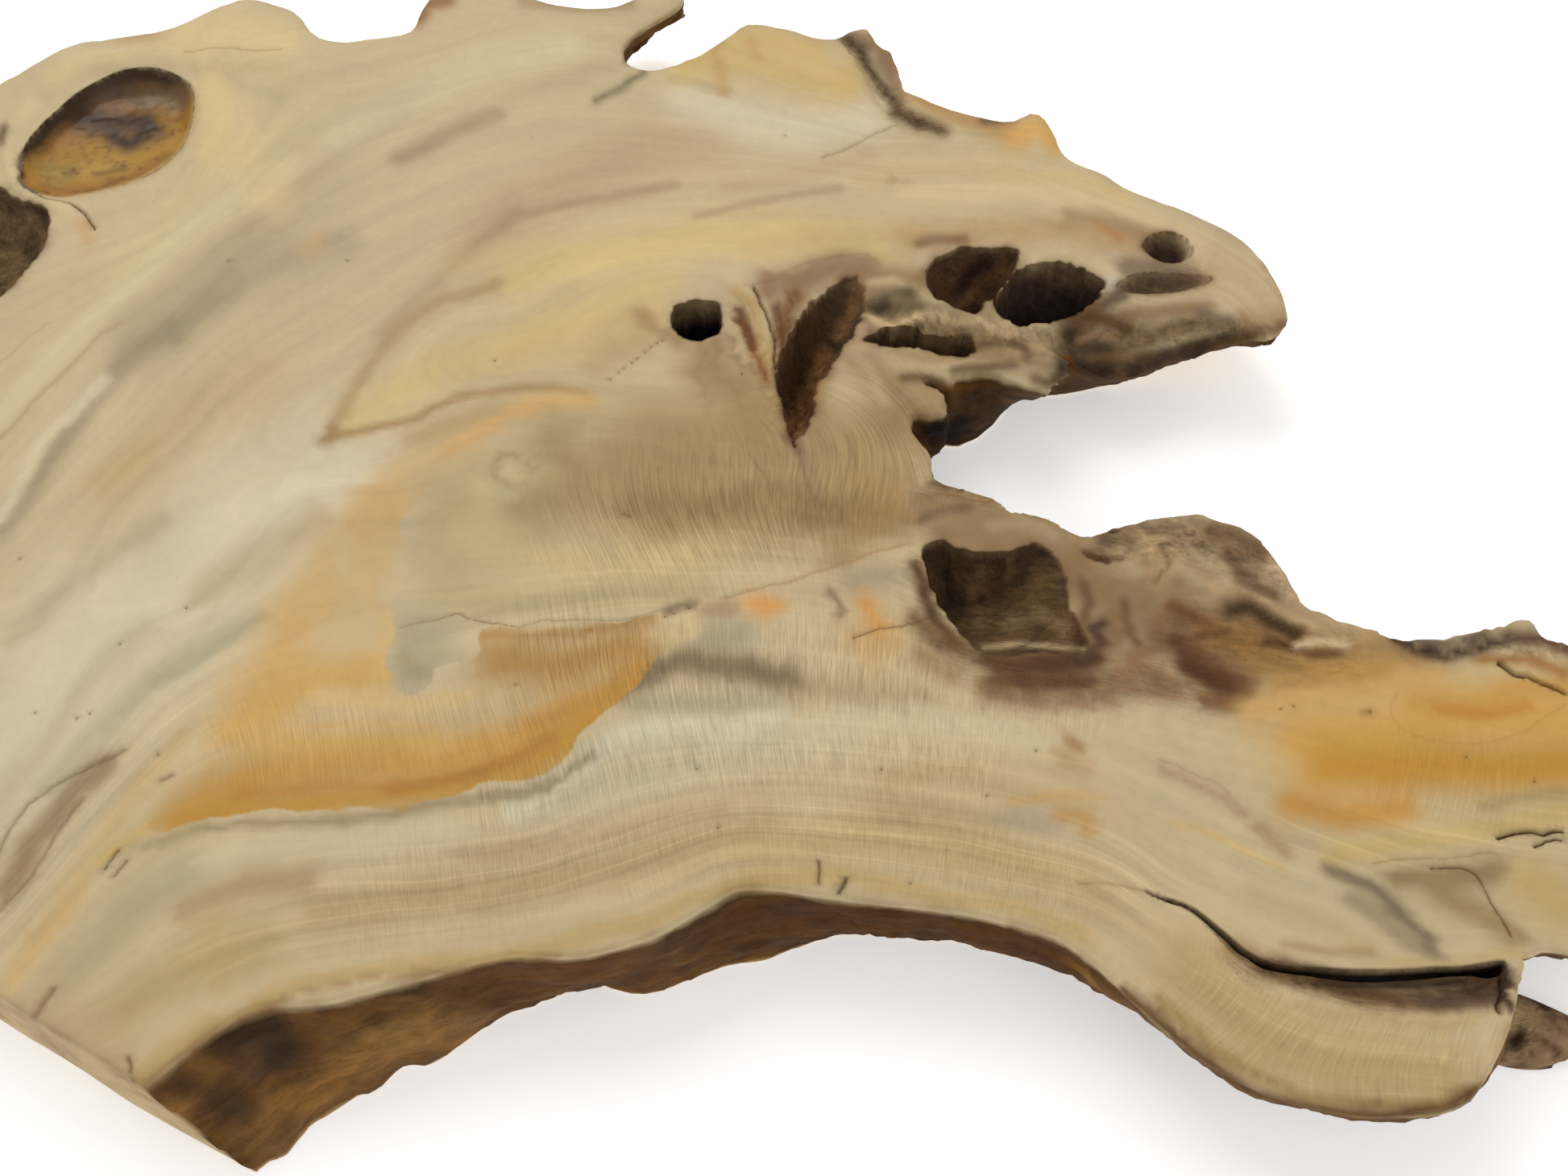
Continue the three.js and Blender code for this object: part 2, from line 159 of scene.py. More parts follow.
def outward(loop, reach=2):
    """Unit vectors out of an anticlockwise loop: each is square to the chord across its point."""
    chord = np.roll(loop, -reach, axis=0) - np.roll(loop, reach, axis=0)
    chord = chord / np.maximum(np.linalg.norm(chord, axis=1), 1e-6)[:, None]
    return np.stack([chord[:, 1], -chord[:, 0]], 1)


stretches = [(even_points(points, EDGE_SPACING), ragged) for points, ragged in STRETCHES]
live_edge = np.concatenate([points for points, _ in stretches])
raggedness = np.concatenate([np.full(len(points), ragged) for points, ragged in stretches])
edge_out = outward(live_edge, 3)
tatter = TATTER * cloud(live_edge, TATTER_WIDTHS[0], 4)
tatter = tatter + TATTER * cloud(live_edge, TATTER_WIDTHS[1], 5)
live_edge = live_edge + edge_out * (raggedness * tatter)[:, None]


PAIRS_AT_ONCE = 3_000_000  # keeps the arrays of distances small


def rim_distance(places, loop):
    """Distance from each place to a closed loop, positive inside: the nearest point on every side
    gives the distance, and how often a ray to the right crosses the loop gives the sign."""
    start, end = loop, np.roll(loop, -1, axis=0)
    side = end - start
    found = []
    for part in np.array_split(places, 1 + len(places) * len(loop) // PAIRS_AT_ONCE):
        away = part[:, None] - start[None]
        share = np.clip((away * side).sum(2) / np.maximum((side * side).sum(1), 1e-9), 0, 1)
        nearest = np.linalg.norm(away - share[..., None] * side, axis=2).min(1)
        spans = (start[:, 1] > part[:, 1:2]) != (end[:, 1] > part[:, 1:2])
        rise = np.where(side[:, 1] == 0, 1e-9, side[:, 1])
        crossing = start[:, 0] + (part[:, 1:2] - start[:, 1]) * side[:, 0] / rise
        inside = (spans & (crossing > part[:, :1])).sum(1) % 2 == 1
        found.append(np.where(inside, nearest, -nearest))
    return np.concatenate(found)


# The relief of the sanded face
# Hand sanding followed the wood: it swells at lips and lumps, dips round the rotten places, and
# rolls over the edge on the fat lip, the nose of the horn and the outer sides.
FACE = 26.0
FACE_WAVE = 0.35  # slow unevenness of the whole face, and its width
FACE_WAVE_WIDTH = 24
SWELLS = [  # place, half widths, turn in degrees, height
    ((20, 42), (26, 9), 12, 1.6),
    ((45, 8), (9, 16), 0, 1.4),
    ((98, -38), (20, 9), -20, 3.0),
    ((88, 60), (32, 9), -38, 1.6),
    ((-133, 110), (24, 5), 0, 1.8),
    ((-108, 86), (6, 20), 0, 1.6),
    ((-134, 58), (16, 5), 25, 1.8),
    ((75, 24), (24, 13), 8, -5.0),
    ((107, 44), (16, 7), -20, -2.5),
    ((29, 20), (9, 22), -14, -2.5),
    ((66, -47), (22, 15), 0, -2.5),
    ((64, 104), (24, 9), -38, -1.6),
    ((50, 108), (5, 13), -28, -2.0),
    ((-80, 126), (20, 9), 0, -2.5),
    ((150, -60), (24, 7), 0, -1.5),
    ((-134, 86), (20, 20), 0, -1.5),
    ((-30, -40), (90, 50), 10, -0.8),
    ((47, 34), (5, 9), 10, 1.6),
    ((60, 26.5), (9, 2.2), -4, 1.4),
    ((66, 16), (12, 2.6), -8, 1.6),
    ((96, 30), (12, 4), 5, 1.8),
]
ROLLS = [  # place, reach, width of the roll, drop
    ((112, -142), 34, 12, 0.6),
    ((103, 18), 15, 10, 7.0),
    ((130, 34), 22, 14, 0.8),
    ((92, 82), 26, 12, 0.4),
    ((188, -90), 30, 18, 6.0),
    ((-190, 10), 70, 24, 8.0),
    ((-150, 118), 34, 14, 0.3),
    ((-6, 138), 18, 12, 0.8),
    ((60, -22), 26, 10, 1.5),
    ((130, -50), 26, 12, 1.0),
]
ROLL_HOLD = 1.6  # a roll keeps its full drop over the middle of its reach
GNARL_WIDTH = 6.5
GNARLS = [  # place, reach, height of the small gnarls
    ((66, 28), 34, 0.8), ((112, -38), 30, 0.9), ((62, -14), 14, 0.5), ((130, -128), 20, 0.5),
]
LIP_CRACK = [
    (84, -107.2), (91, -109.5), (95.5, -113.5), (99.3, -117.3), (104, -119.8), (134, -120.4),
    (143, -118.8),
]
LIP_CRACK_HALF = 1.2
LIP_DIVES = [(88, 98, 110, 136, 144), (0, 1.0, 2.8, 3.3, 2.0)]  # places along X, and how deep
LIP_SLOPE = 7.5  # width of the dive
LIP_START = 0.6  # where it begins, over this width from the crack
RIM_ROUND = 0.9  # radius of the sanded corner along the live edge


def falloff(places, at, reach):
    """One at a place and fading round it: e to the minus square of distance over reach."""
    return np.exp(-(((places - at) ** 2).sum(1)) / reach**2)


def face_height(places, inset):
    """Plane, plus mounds (e to the minus squared distance in turned half widths), less rolls that
    grow with the square of nearness to the edge, less the quarter round of the corner, less the
    slope of the lip, which dives towards the long crack from its near side only."""
    height = FACE + FACE_WAVE * cloud(places, FACE_WAVE_WIDTH, 61)
    for at, half, turn, rise in SWELLS:
        angle = math.radians(turn)
        x, y = (places - at).T
        along = (x * math.cos(angle) + y * math.sin(angle)) / half[0]
        across = (y * math.cos(angle) - x * math.sin(angle)) / half[1]
        height += rise * np.exp(-(along**2) - across**2)
    for at, reach, width, drop in ROLLS:
        fall = 1 - np.clip(inset / width, 0, 1)
        height -= drop * fall**2 * np.minimum(1, ROLL_HOLD * falloff(places, at, reach))
    for at, reach, depth in GNARLS:
        height += depth * falloff(places, at, reach) * rough(places, GNARL_WIDTH, 71)
    crack_y = np.interp(places[:, 0], *np.transpose(LIP_CRACK))
    dive = np.interp(places[:, 0], LIP_DIVES[0], LIP_DIVES[1])
    near = np.maximum(0, crack_y - LIP_CRACK_HALF - places[:, 1])
    height -= dive * np.exp(-((near / LIP_SLOPE) ** 1.3)) * np.clip(near / LIP_START, 0, 1)
    short = 1 - np.clip(inset / RIM_ROUND, 0, 1)
    return height - RIM_ROUND * (1 - np.sqrt(1 - short**2))


# The hollows
# Rot and insects have eaten pits into the wood. Each narrows from its rim to its floor, slants
# towards one side, and has walls of torn fibre. The knot is a plug of a branch, sunk on one side.
PITS = {  # rim, depth, middle of the floor, floor share, rise of the floor each way, and how
    # torn the wall and how ragged the rim are, in mm
    "pith_hole": (
        [(-1, 25), (0, 29), (5, 31), (9, 30), (10, 26), (9, 22), (5, 19.5), (1, 21)],
        22, (4, 27), 0.7, (0, 0), 0.3, 0.35,
    ),
    "trough": (
        [(38, 39), (32, 35), (26, 28), (22.5, 19), (21.5, 11), (23, 1), (25.5, -7), (28, -3),
         (30, 8), (34, 16), (39, 26), (40.5, 34)],
        11, (27, 18), 0.3, (0.05, 0.0), 1.2, 0.6,
    ),
    "side_slot": (
        [(40, 21), (45, 23.5), (52, 24), (57, 23), (63, 24), (64, 21), (55, 18.5), (44, 18.5)],
        10, (52, 22), 0.7, (0, 0), 0.8, 0.6,
    ),
    "horn_near_hole": (
        [(54, 38), (56, 43), (61, 47), (68, 47), (74, 46), (73, 41), (68, 34), (63, 29), (58, 31),
         (55, 34)],
        10, (63, 39), 0.5, (-0.03, 0.02), 1.5, 0.6,
    ),
    "horn_main_hole": (
        [(68, 32), (70, 37), (74, 41.5), (80, 43.5), (87, 42.5), (91.5, 39), (91, 34), (85, 30),
         (76, 28.5), (70, 29.5)],
        20, (80, 36), 0.66, (0, 0), 0.5, 0.6,
    ),
    "horn_far_eye": (
        [(102, 49), (105, 52), (110, 52), (113, 48.5), (111, 45), (105, 45)],
        6, (107.5, 49), 0.25, (0, 0), 0.2, 0.0,
    ),
    "horn_near_eye": (
        [(95, 37), (99, 40.5), (107, 41.5), (116, 39.5), (110, 35), (103, 34), (97, 34.5)],
        3, (104, 38), 0.25, (0, 0), 0.2, 0.0,
    ),
    "three_sided_pit": (
        [(50, -34), (53, -32), (58, -34), (65, -34.5), (72, -33), (76, -38), (77, -47), (79, -57),
         (70, -57.5), (61, -58), (55, -51), (51, -43)],
        12, (58, -39), 0.45, (0.034, -0.034), 0.5, 0.35,
    ),
    "knot_bowl": (
        [(-151, 74), (-152, 82), (-148, 93), (-142, 102), (-134, 106.5), (-125, 106.5),
         (-118, 102), (-115, 90), (-116, 79), (-122, 71), (-131, 66), (-142, 64), (-149, 68)],
        2.8, (-134, 86), 0.8, (0.030, -0.030), 0.2, 0.0,
    ),
    "pit_beside_knot": (
        [(-155, 67), (-149, 63), (-141, 58), (-139, 52), (-141, 42), (-145, 33), (-151, 26.5),
         (-159, 25), (-168, 32), (-173, 44), (-171, 56), (-164, 65)],
        10, (-157, 47), 0.6, (0, 0), 1.3, 0.35,
    ),
}
CRACK_RIM = [
    (86, -107.2), (91.3, -109.1), (95.7, -113.2), (99.5, -117), (103.6, -119.2), (110, -119.9),
    (122, -120.2), (134, -119.7), (142, -118.7), (141.5, -120.3), (134, -121.4), (122, -121.7),
    (110, -121.3), (103, -120.5), (98.6, -117.9), (95, -114), (91, -109.9),
]
CRACK_DEPTH = 15
CRACK_HALF = 1.5  # how far in from its rim the crack reaches its full depth
EYES = ("horn_far_eye", "horn_near_eye")  # shallow dents with rolled rims
PIT_TAPER = 1.4
RIM_SPACING = 0.8
SHALLOWEST = 0.22  # least and greatest share of its depth that a slanted floor goes to
BOWL_SHALLOWEST = 0.06
DEEPEST = 1.35
PIT_FIBRE = (3.4, 2.6)
rim_lines = [(name, pit[0], pit[-1]) for name, pit in PITS.items()]
pit_rims = {}
for name, points, ragged in [*rim_lines, ("long_crack", CRACK_RIM, 0.0)]:
    rim = even_points(points, RIM_SPACING, True)
    area = (rim[:, 0] * np.roll(rim[:, 1], -1) - rim[:, 1] * np.roll(rim[:, 0], -1)).sum()
    rim = rim if area > 0 else rim[::-1]
    ragged = ragged * (cloud(rim, 1.7, 9) + 0.6 * cloud(rim, 0.9, 10))
    pit_rims[name] = rim + outward(rim) * ragged[:, None]


def pit_level(places, name):
    """How far down a pit each place lies, from 0 at the rim to 1 on the floor: the share of the way
    out from the floor's middle to the rim, turned back through the pit's taper."""
    middle, floor_share = PITS[name][2:4]
    rim = pit_rims[name] - middle
    bearing = np.arctan2(rim[:, 1], rim[:, 0])
    order = np.argsort(bearing)
    x, y = (places - middle).T
    reach = np.interp(
        np.arctan2(y, x), bearing[order], np.linalg.norm(rim, axis=1)[order], period=2 * math.pi
    )
    out = np.hypot(x, y) / reach
    return np.clip((1 - out) / (1 - floor_share), 0, 1) ** (1 / PIT_TAPER)


def hollow(places):
    """Depth below the face, and level from 0 to 1, of the deepest pit at each place. The floor
    slants by its rise a millimetre, and torn walls carry ridges of fibre. The long crack deepens
    with the distance in from its rim to the power 1.2."""
    depth = np.zeros(len(places))
    level = np.zeros(len(places))
    for name, (_, deep, middle, _, slant, torn, _) in PITS.items():
        at = pit_level(places, name)
        if name in EYES:
            at = at * at * (3 - 2 * at)
        least = BOWL_SHALLOWEST if name == "knot_bowl" else SHALLOWEST
        slanted = np.clip(1 - (places - middle) @ np.array(slant), least, DEEPEST)
        fibre = torn * np.minimum(1, 3 * at) * rough(places, PIT_FIBRE, 21, 4)
        sunk = deep * at * slanted + np.where(at > 0, fibre * slanted, 0)
        depth = np.maximum(depth, sunk)
        level = np.maximum(level, at)
    wide = np.clip(rim_distance(places, pit_rims["long_crack"]), 0, CRACK_HALF) / CRACK_HALF
    split = wide**1.2
    return np.maximum(depth, CRACK_DEPTH * split), np.maximum(level, split)


# The bark side
# The bark is gone and the wood under it is brown, ribbed and ragged. It leans, bellies and wanders
# between the face and the floor, and draws back under the horn and the fat lip.
LEANS = [  # place, reach, shift at the floor
    ((-80, -142), 26, (13, -5)),
    ((-59, -126), 13, (1, -8)),
    ((16, -106), 9, (0, -3)),
    ((-70, -132), 7, (0, -4)),
    ((-55, -126), 4, (0, 2)),
    ((-46, -124), 4, (0, 2)),
    ((-38, -122), 9, (0, -3)),
    ((-11, -118), 7, (0, 6)),
    ((36, -108), 10, (0, 3)),
    ((62, -112), 26, (2, 5.5)),
    ((88, -133), 17, (5, 13)),
    ((112, -144), 24, (0, 16)),
    ((130, -142), 7, (0, 7)),
    ((157, -116), 14, (0, 17)),
    ((56, 2), 8, (-3, 5)),
    ((62, 12), 5, (0, -4)),
    ((77, 6), 8, (-1, 11)),
    ((86, 20), 9, (0, -10)),
    ((86, 12), 16, (-1, 18)),
    ((124, 22), 25, (-4, 24)),
    ((118, 62), 24, (-4, -5)),
    ((-9, 126), 20, (-10, 16)),
    ((188, -80), 26, (-6, 2)),
    ((-188, 30), 60, (5, 0)),
    ((-110, 136), 26, (2, -5)),
]
RISES = [  # place, reach, rise of the underside off the floor
    ((134, 30), 29, 18), ((-6, 130), 21, 24), ((196, -76), 18, 9), ((-196, 60), 20, 9),
]
RISE_STARTS = 2.0
BELLY = 1.5
WALL_ROUGH = 1.3
WANDERS = ((21, 18), (19, 19))  # wavelength and seed, along X and along Y
RIBS = [(0.75, (6, 6, 2.4), 31), (0.35, (2.2, 2.2, 5), 35)]  # height, size and seed
SAWN_BELOW = 0.1  # a stretch less ragged than this is sawn, and has hardly any ribs
SAWN_RIBS = 0.08
RIBS_GROW = 9  # the ribs reach their full height after a ninth of the way down
FOOT_RIBS = 0.35
LEAST_WALL = 3.0
FOLDED_AT = np.array([82.0, 22.0])  # under the horn the leaning wall would fold: it is smoothed
FOLD_REACH = 9.0
FOLD_PASSES = 6
FOLD_PULL = 0.7
WALL_ROWS = np.array([0, 0.03, 0.07, 0.12, 0.18, 0.24, 0.31, 0.38, 0.45, 0.52, 0.6, 0.67, 0.74,
                      0.81, 0.87, 0.93, 0.97, 1.0])


def wander(places, z, wavelength, seed):
    """Four sine waves with turned headings, summed and divided by four: the same slow wander in and
    out that the solid has."""
    total = 0
    for wave in range(4):
        heading = 1.7 * wave + 0.9 * seed
        pace = 2 * math.pi / (wavelength * (1 + 0.31 * wave))
        along = places[:, 0] * math.cos(heading) + places[:, 1] * math.sin(heading)
        total = total + np.sin(
            pace * (along + 0.6 * z * math.cos(seed + wave)) + 2.3 * seed * (wave + 1)
        )
    return total / 4


def wall_shift(z):
    """Sideways shift of the live edge at heights z: leans grow as depth to the power 1.25, and the
    wander and the belly, a half sine wave, die out at the face."""
    deep = np.clip((FACE - z) / FACE, 0, 1)
    shift = edge_out * (BELLY * np.sin(math.pi * deep))[:, None]
    for at, reach, lean in LEANS:
        shift = shift + np.outer(falloff(live_edge, at, reach) * deep**1.25, lean)
    wave = np.stack([wander(live_edge, z, width, seed) for width, seed in WANDERS], 1)
    return shift + WALL_ROUGH * np.minimum(1, 2.5 * deep)[:, None] * wave


def underside_height(places):
    """Flat on the floor, but for rises that fade round their places."""
    height = -RISE_STARTS
    for at, reach, rise in RISES:
        height = height + rise * falloff(places, at, reach)
    return np.maximum(0, height)


top = face_height(live_edge, np.zeros(len(live_edge))) - hollow(live_edge)[0]
foot = np.zeros(len(live_edge))
for _ in range(4):  # the foot's height shifts it sideways, and its place sets its height
    foot = underside_height(live_edge + wall_shift(foot))
foot = np.minimum(foot, top - LEAST_WALL)
ridge_scale = np.where(raggedness < SAWN_BELOW, SAWN_RIBS, 1.0)
wall_rings = []
for share in WALL_ROWS:
    z = top * (1 - share) + foot * share
    ring = live_edge + wall_shift(z) - wall_shift(top)
    here = np.column_stack([ring, z])
    grip = min(1, RIBS_GROW * share) * (FOOT_RIBS if share == 1 else 1)
    ribs = sum(high * rough(here, size, seed) for high, size, seed in RIBS)
    ring = ring + edge_out * (grip * ridge_scale * ribs)[:, None]
    fold = np.clip(share * (1.6 * falloff(ring, FOLDED_AT, FOLD_REACH) - 0.1), 0, 1)
    for _ in range(FOLD_PASSES):
        middle = (np.roll(ring, 3, axis=0) + np.roll(ring, -3, axis=0)) / 2
        ring = ring + FOLD_PULL * fold[:, None] * (middle - ring)
    wall_rings.append(np.column_stack([ring, z]))

# The fine lines
# Hairline cracks, seams and thin ridges cross the face. They are laid by where they stand in the
# picture: the slab lies flat and is looked at from its front edge, 55 degrees down.
EYE = np.array([23.0, -233.0, 296.0])  # mm, in the drawing of the slab
LOOK_DOWN = math.radians(55)
PICTURE = np.array([1946, 1460])
FOCAL = 2162.0  # focal length in pixels of the picture
LINE_SPACING = 0.7
LINE_SHAKE = 0.45
LINES = [  # line in picture places, half width mm, depth mm, colour, strength
    ([(936, 359), (949, 384), (958, 410), (961, 446), (969, 487), (978, 516), (988, 554)],
     0.35, 0.9, "#543c28", 0.6),
    ([(988, 554), (998, 580), (1007, 603), (1012, 622)], 0.5, 0.2, "#7c6244", 0.45),
    ([(924, 357), (960, 350), (1000, 330), (1050, 320), (1082, 324), (1094, 336)],
     0.45, 0.1, "#8c6e52", 0.35),
    ([(913, 394), (922, 402), (928, 416), (934, 432)], 0.9, 0.6, "#704222", 0.8),
    ([(938, 440), (946, 454), (953, 470)], 0.5, 0.4, "#865632", 0.6),
    ([(40, 238), (27, 225), (24, 204), (29, 182), (51, 155), (78, 131), (102, 110), (129, 98),
      (161, 90), (190, 90)],
     0.7, 0.0, "#402e20", 0.85),
    ([(40, 238), (54, 246), (80, 254), (104, 266), (118, 285)],
     0.35, 0.6, "#543e26", 0.8),
    ([(800, 88), (786, 98), (768, 109), (733, 129)], 0.5, 0.3, "#867658", 0.5),
    ([(496, 776), (520, 771), (548, 765), (568, 760), (590, 768), (612, 774), (640, 777)],
     0.25, 0.1, "#826440", 0.8),
    ([(640, 777), (700, 768), (765, 767), (830, 755)], 0.4, 0.0, "#968c6a", 0.7),
    ([(1868, 818), (1890, 832), (1920, 842), (1946, 858)], 0.5, 2.0, "#382616", 0.95),
    ([(1860, 1040), (1885, 1034), (1915, 1036), (1946, 1030)], 0.4, 1.2, "#543e26", 0.9),
    ([(1905, 1052), (1925, 1044), (1946, 1044)], 0.3, 0.8, "#543e26", 0.8),
    ([(1860, 1060), (1760, 1066), (1700, 1072)], 0.3, 0.1, "#967e4e", 0.6),
    ([(1775, 1078), (1800, 1076), (1822, 1082), (1845, 1108), (1862, 1136), (1880, 1166)],
     0.25, 0.4, "#705636", 0.75),
    ([(1660, 1078), (1700, 1098), (1735, 1130), (1760, 1156)], 0.5, 0.0, "#7e705a", 0.35),
    ([(1012, 1068), (1016, 1080), (1014, 1100)], 0.4, 0.4, "#60462c", 0.75),
    ([(1049, 1092), (1043, 1104), (1040, 1110)], 0.6, 0.6, "#3c2c1c", 0.85),
    ([(1340, 1096), (1385, 1098), (1425, 1108)], 0.4, 0.1, "#a0845c", 0.6),
    ([(1425, 1108), (1450, 1114), (1478, 1124)], 0.35, 0.7, "#4a3420", 0.9),
    ([(900, 738), (958, 726), (1020, 705), (1080, 684), (1130, 670)],
     0.5, 0.1, "#a6865a", 0.6),
    ([(1060, 788), (1100, 775), (1150, 762), (1158, 758)], 0.25, 0.2, "#785c38", 0.8),
    ([(0, 1156), (46, 1099), (107, 1017), (161, 953), (200, 903)], 0.6, -0.3, "#cec4a6", 0.6),
    ([(0, 1060), (20, 1022), (46, 989), (80, 966), (116, 945), (157, 924)],
     0.5, 0.3, "#705c42", 0.6),
    ([(0, 1130), (40, 1078), (70, 1030), (100, 985)], 0.6, 0.2, "#7e6646", 0.6),
    ([(64, 1224), (48, 1246), (34, 1268)], 0.7, 0.5, "#826040", 0.7),
    ([(200, 968), (208, 964), (216, 958)], 0.5, 0.3, "#504630", 0.6),
    ([(130, 1076), (140, 1062), (150, 1050)], 0.4, 0.3, "#685028", 0.8),
    ([(140, 1084), (152, 1072), (160, 1064)], 0.4, 0.3, "#70562c", 0.7),
    ([(158, 1312), (161, 1330), (158, 1350)], 0.5, 0.5, "#7c5c3a", 0.8),
    ([(0, 545), (40, 500), (80, 460), (118, 421), (150, 398)], 0.8, 0.0, "#a28660", 0.45),
    ([(0, 452), (36, 418), (64, 396)], 0.6, 0.0, "#b0946e", 0.4),
    ([(232, 70), (270, 62), (310, 64), (350, 58)], 0.5, 0.2, "#96825c", 0.5),
    ([(1022, 196), (1056, 182), (1092, 163), (1116, 152)], 0.5, 0.2, "#8c7656", 0.5),
    ([(1735, 862), (1724, 885), (1744, 908), (1790, 922), (1840, 922), (1890, 908), (1930, 886),
      (1946, 872)], 0.3, 0.0, "#b0864c", 0.35),
    ([(1270, 940), (1350, 950), (1430, 972), (1500, 1000)], 0.35, 0.0, "#d8c094", 0.5),
    ([(1440, 944), (1480, 958), (1510, 972), (1530, 990)], 0.4, 0.0, "#967a5e", 0.35),
    ([(1190, 606), (1204, 600), (1220, 604)], 0.6, 0.6, "#685034", 0.7),
    ([(1345, 685), (1360, 694), (1380, 700)], 0.6, 0.8, "#60462c", 0.8),
    ([(1868, 1198), (1872, 1220), (1868, 1244), (1874, 1256)], 0.5, 1.0, "#483222", 0.85),
    ([(930, 560), (944, 580), (952, 596)], 0.3, 0.1, "#8c704c", 0.5),
    ([(772, 636), (780, 640)], 0.4, 0.2, "#785e3a", 0.8),
]
WORM_DASHES = [  # an insect's gallery, opened by the sanding as a row of pinholes
    (757, 470), (768, 461), (774, 456), (784, 449), (791, 444), (800, 437), (808, 430), (816, 425),
    (822, 422),
]
PINHOLES = [
    (975, 170), (855, 752), (836, 758), (825, 762), (110, 884), (94, 890), (42, 883), (195, 935),
    (148, 798), (230, 753), (24, 693), (431, 323), (284, 323), (891, 1028), (865, 954),
    (1094, 954), (1286, 932), (921, 462), (614, 446), (733, 779), (640, 848), (1225, 987),
    (1130, 1096), (1590, 880), (1606, 876), (1700, 884), (1820, 940), (1905, 970),
]


def on_face(pixels):
    """Places on the face's plane seen at picture places: the line of sight meets z = FACE."""
    across, down = (np.asarray(pixels, float) - PICTURE / 2).T / FOCAL
    ahead = math.cos(LOOK_DOWN) - down * math.sin(LOOK_DOWN)
    fall = math.sin(LOOK_DOWN) + down * math.cos(LOOK_DOWN)
    reach = (EYE[2] - FACE) / fall
    return np.stack([EYE[0] + across * reach, EYE[1] + ahead * reach], 1)


def seen_at(points):
    """Picture places of points: offset from the eye, across and up, over depth, times FOCAL."""
    away = points - EYE
    depth = away[:, 1] * math.cos(LOOK_DOWN) - away[:, 2] * math.sin(LOOK_DOWN)
    rise = away[:, 1] * math.sin(LOOK_DOWN) + away[:, 2] * math.cos(LOOK_DOWN)
    return PICTURE / 2 + FOCAL * np.stack([away[:, 0], -rise], 1) / depth[:, None]


def line_distance(places, line):
    """Distance from each place to an open line: the nearest point on any of its sides."""
    nearest = np.full(len(places), 1e6)
    for start, end in zip(line[:-1], line[1:]):
        side = end - start
        share = np.clip((places - start) @ side / max(side @ side, 1e-9), 0, 1)
        away = places - start - share[:, None] * side
        nearest = np.minimum(nearest, np.linalg.norm(away, axis=1))
    return nearest


fine_lines = []
for seen, *rest in LINES:
    line = even_points(on_face(seen), LINE_SPACING)
    shaky = np.stack([rough(line, 4.0, 55), rough(line, 4.0, 65)], 1)
    fine_lines.append((line + LINE_SHAKE * shaky, *rest))
pinholes = on_face(WORM_DASHES + PINHOLES)

# The sheets of the face and the underside
# Both are filled inside their rims with an even triangular net, drawn closer round the hollows,
# so that torn rims and steep pit walls have enough points.
NET = 1.32
FINE_NET = 0.75
UNDER_NET = 4.0
NET_CLEAR = 1.9  # least distance of each net from the live edge, and from the rims of the pits
NET_CLEAR_OF_RIMS = 1.5
FINE_CLEAR = 0.9
FINE_CLEAR_OF_RIMS = 0.6
LINES_CLEAR = 0.8
UNDER_CLEAR = 1.5
RIM_ROWS = (-0.3, 0.4)  # rows of points beside each rim, and inside the live edge
INSET_ROWS = (0.35, 1.0)
PIN_SIDES = 5
PIN_RADIUS = 0.3
PIN_DEPTH = 0.4
TORN_GROUND = [  # two corners of each stretch of ground where the fine net lies all over
    ((12, -2), (118, 56)), ((44, -74), (128, -18)), ((96, -130), (150, -112)),
]
EASED_FROM = 27.0  # swells above this height are eased, and none passes it by more than EASED_BY
EASED_BY = 1.15
LOWEST = 1.5  # no pit comes nearer to the floor


def net(low, high, spacing):
    """Triangular net over a box: rows lie the root of three quarters of a step apart, every other
    one half a step aside, and all are nudged."""
    rows = np.arange(low[1], high[1], spacing * math.sqrt(0.75))
    columns = np.arange(low[0], high[0], spacing)
    x, y = np.meshgrid(columns, rows)
    x = x + np.where(np.arange(len(rows)) % 2 == 1, spacing / 2, 0)[:, None]
    spots = np.stack([x, y], 2).reshape(-1, 2)
    nudge = np.stack([cloud(spots, spacing / 2, 51), cloud(spots, spacing / 2, 52)], 1)
    return spots + 0.12 * spacing * nudge


def sheet(rim, lines, spots):
    """Triangles between a rim, lines that must be kept, and loose spots, all inside the rim.
    Returns the points, the triangles, and where each rim point went."""
    points = [rim]
    edges = [(i, (i + 1) % len(rim)) for i in range(len(rim))]
    start = len(rim)
    for line, closed in lines:
        points.append(line)
        edges += [(start + i, start + (i + 1) % len(line)) for i in range(len(line) - 1 + closed)]
        start += len(line)
    points.append(spots)
    out, _, faces, sources, _, _ = delaunay_2d_cdt(
        np.concatenate(points).tolist(), edges, [], 1, 1e-5
    )
    went = np.zeros(len(rim), int)
    for here, origins in enumerate(sources):
        for origin in origins:
            if origin < len(rim):
                went[origin] = here
    return np.array([tuple(p) for p in out]), np.array(faces), went


def rim_gap(places, reach):
    """Distance inside the nearest pit's rim, negative outside, within reach of the pits."""
    gap = np.full(len(places), -1e3)
    for rim in pit_rims.values():
        near = (np.abs(places - (rim.min(0) + rim.max(0)) / 2) < np.ptp(rim, axis=0) / 2 + reach)
        near = near.all(1)
        gap[near] = np.maximum(gap[near], rim_distance(places[near], rim))
    return gap


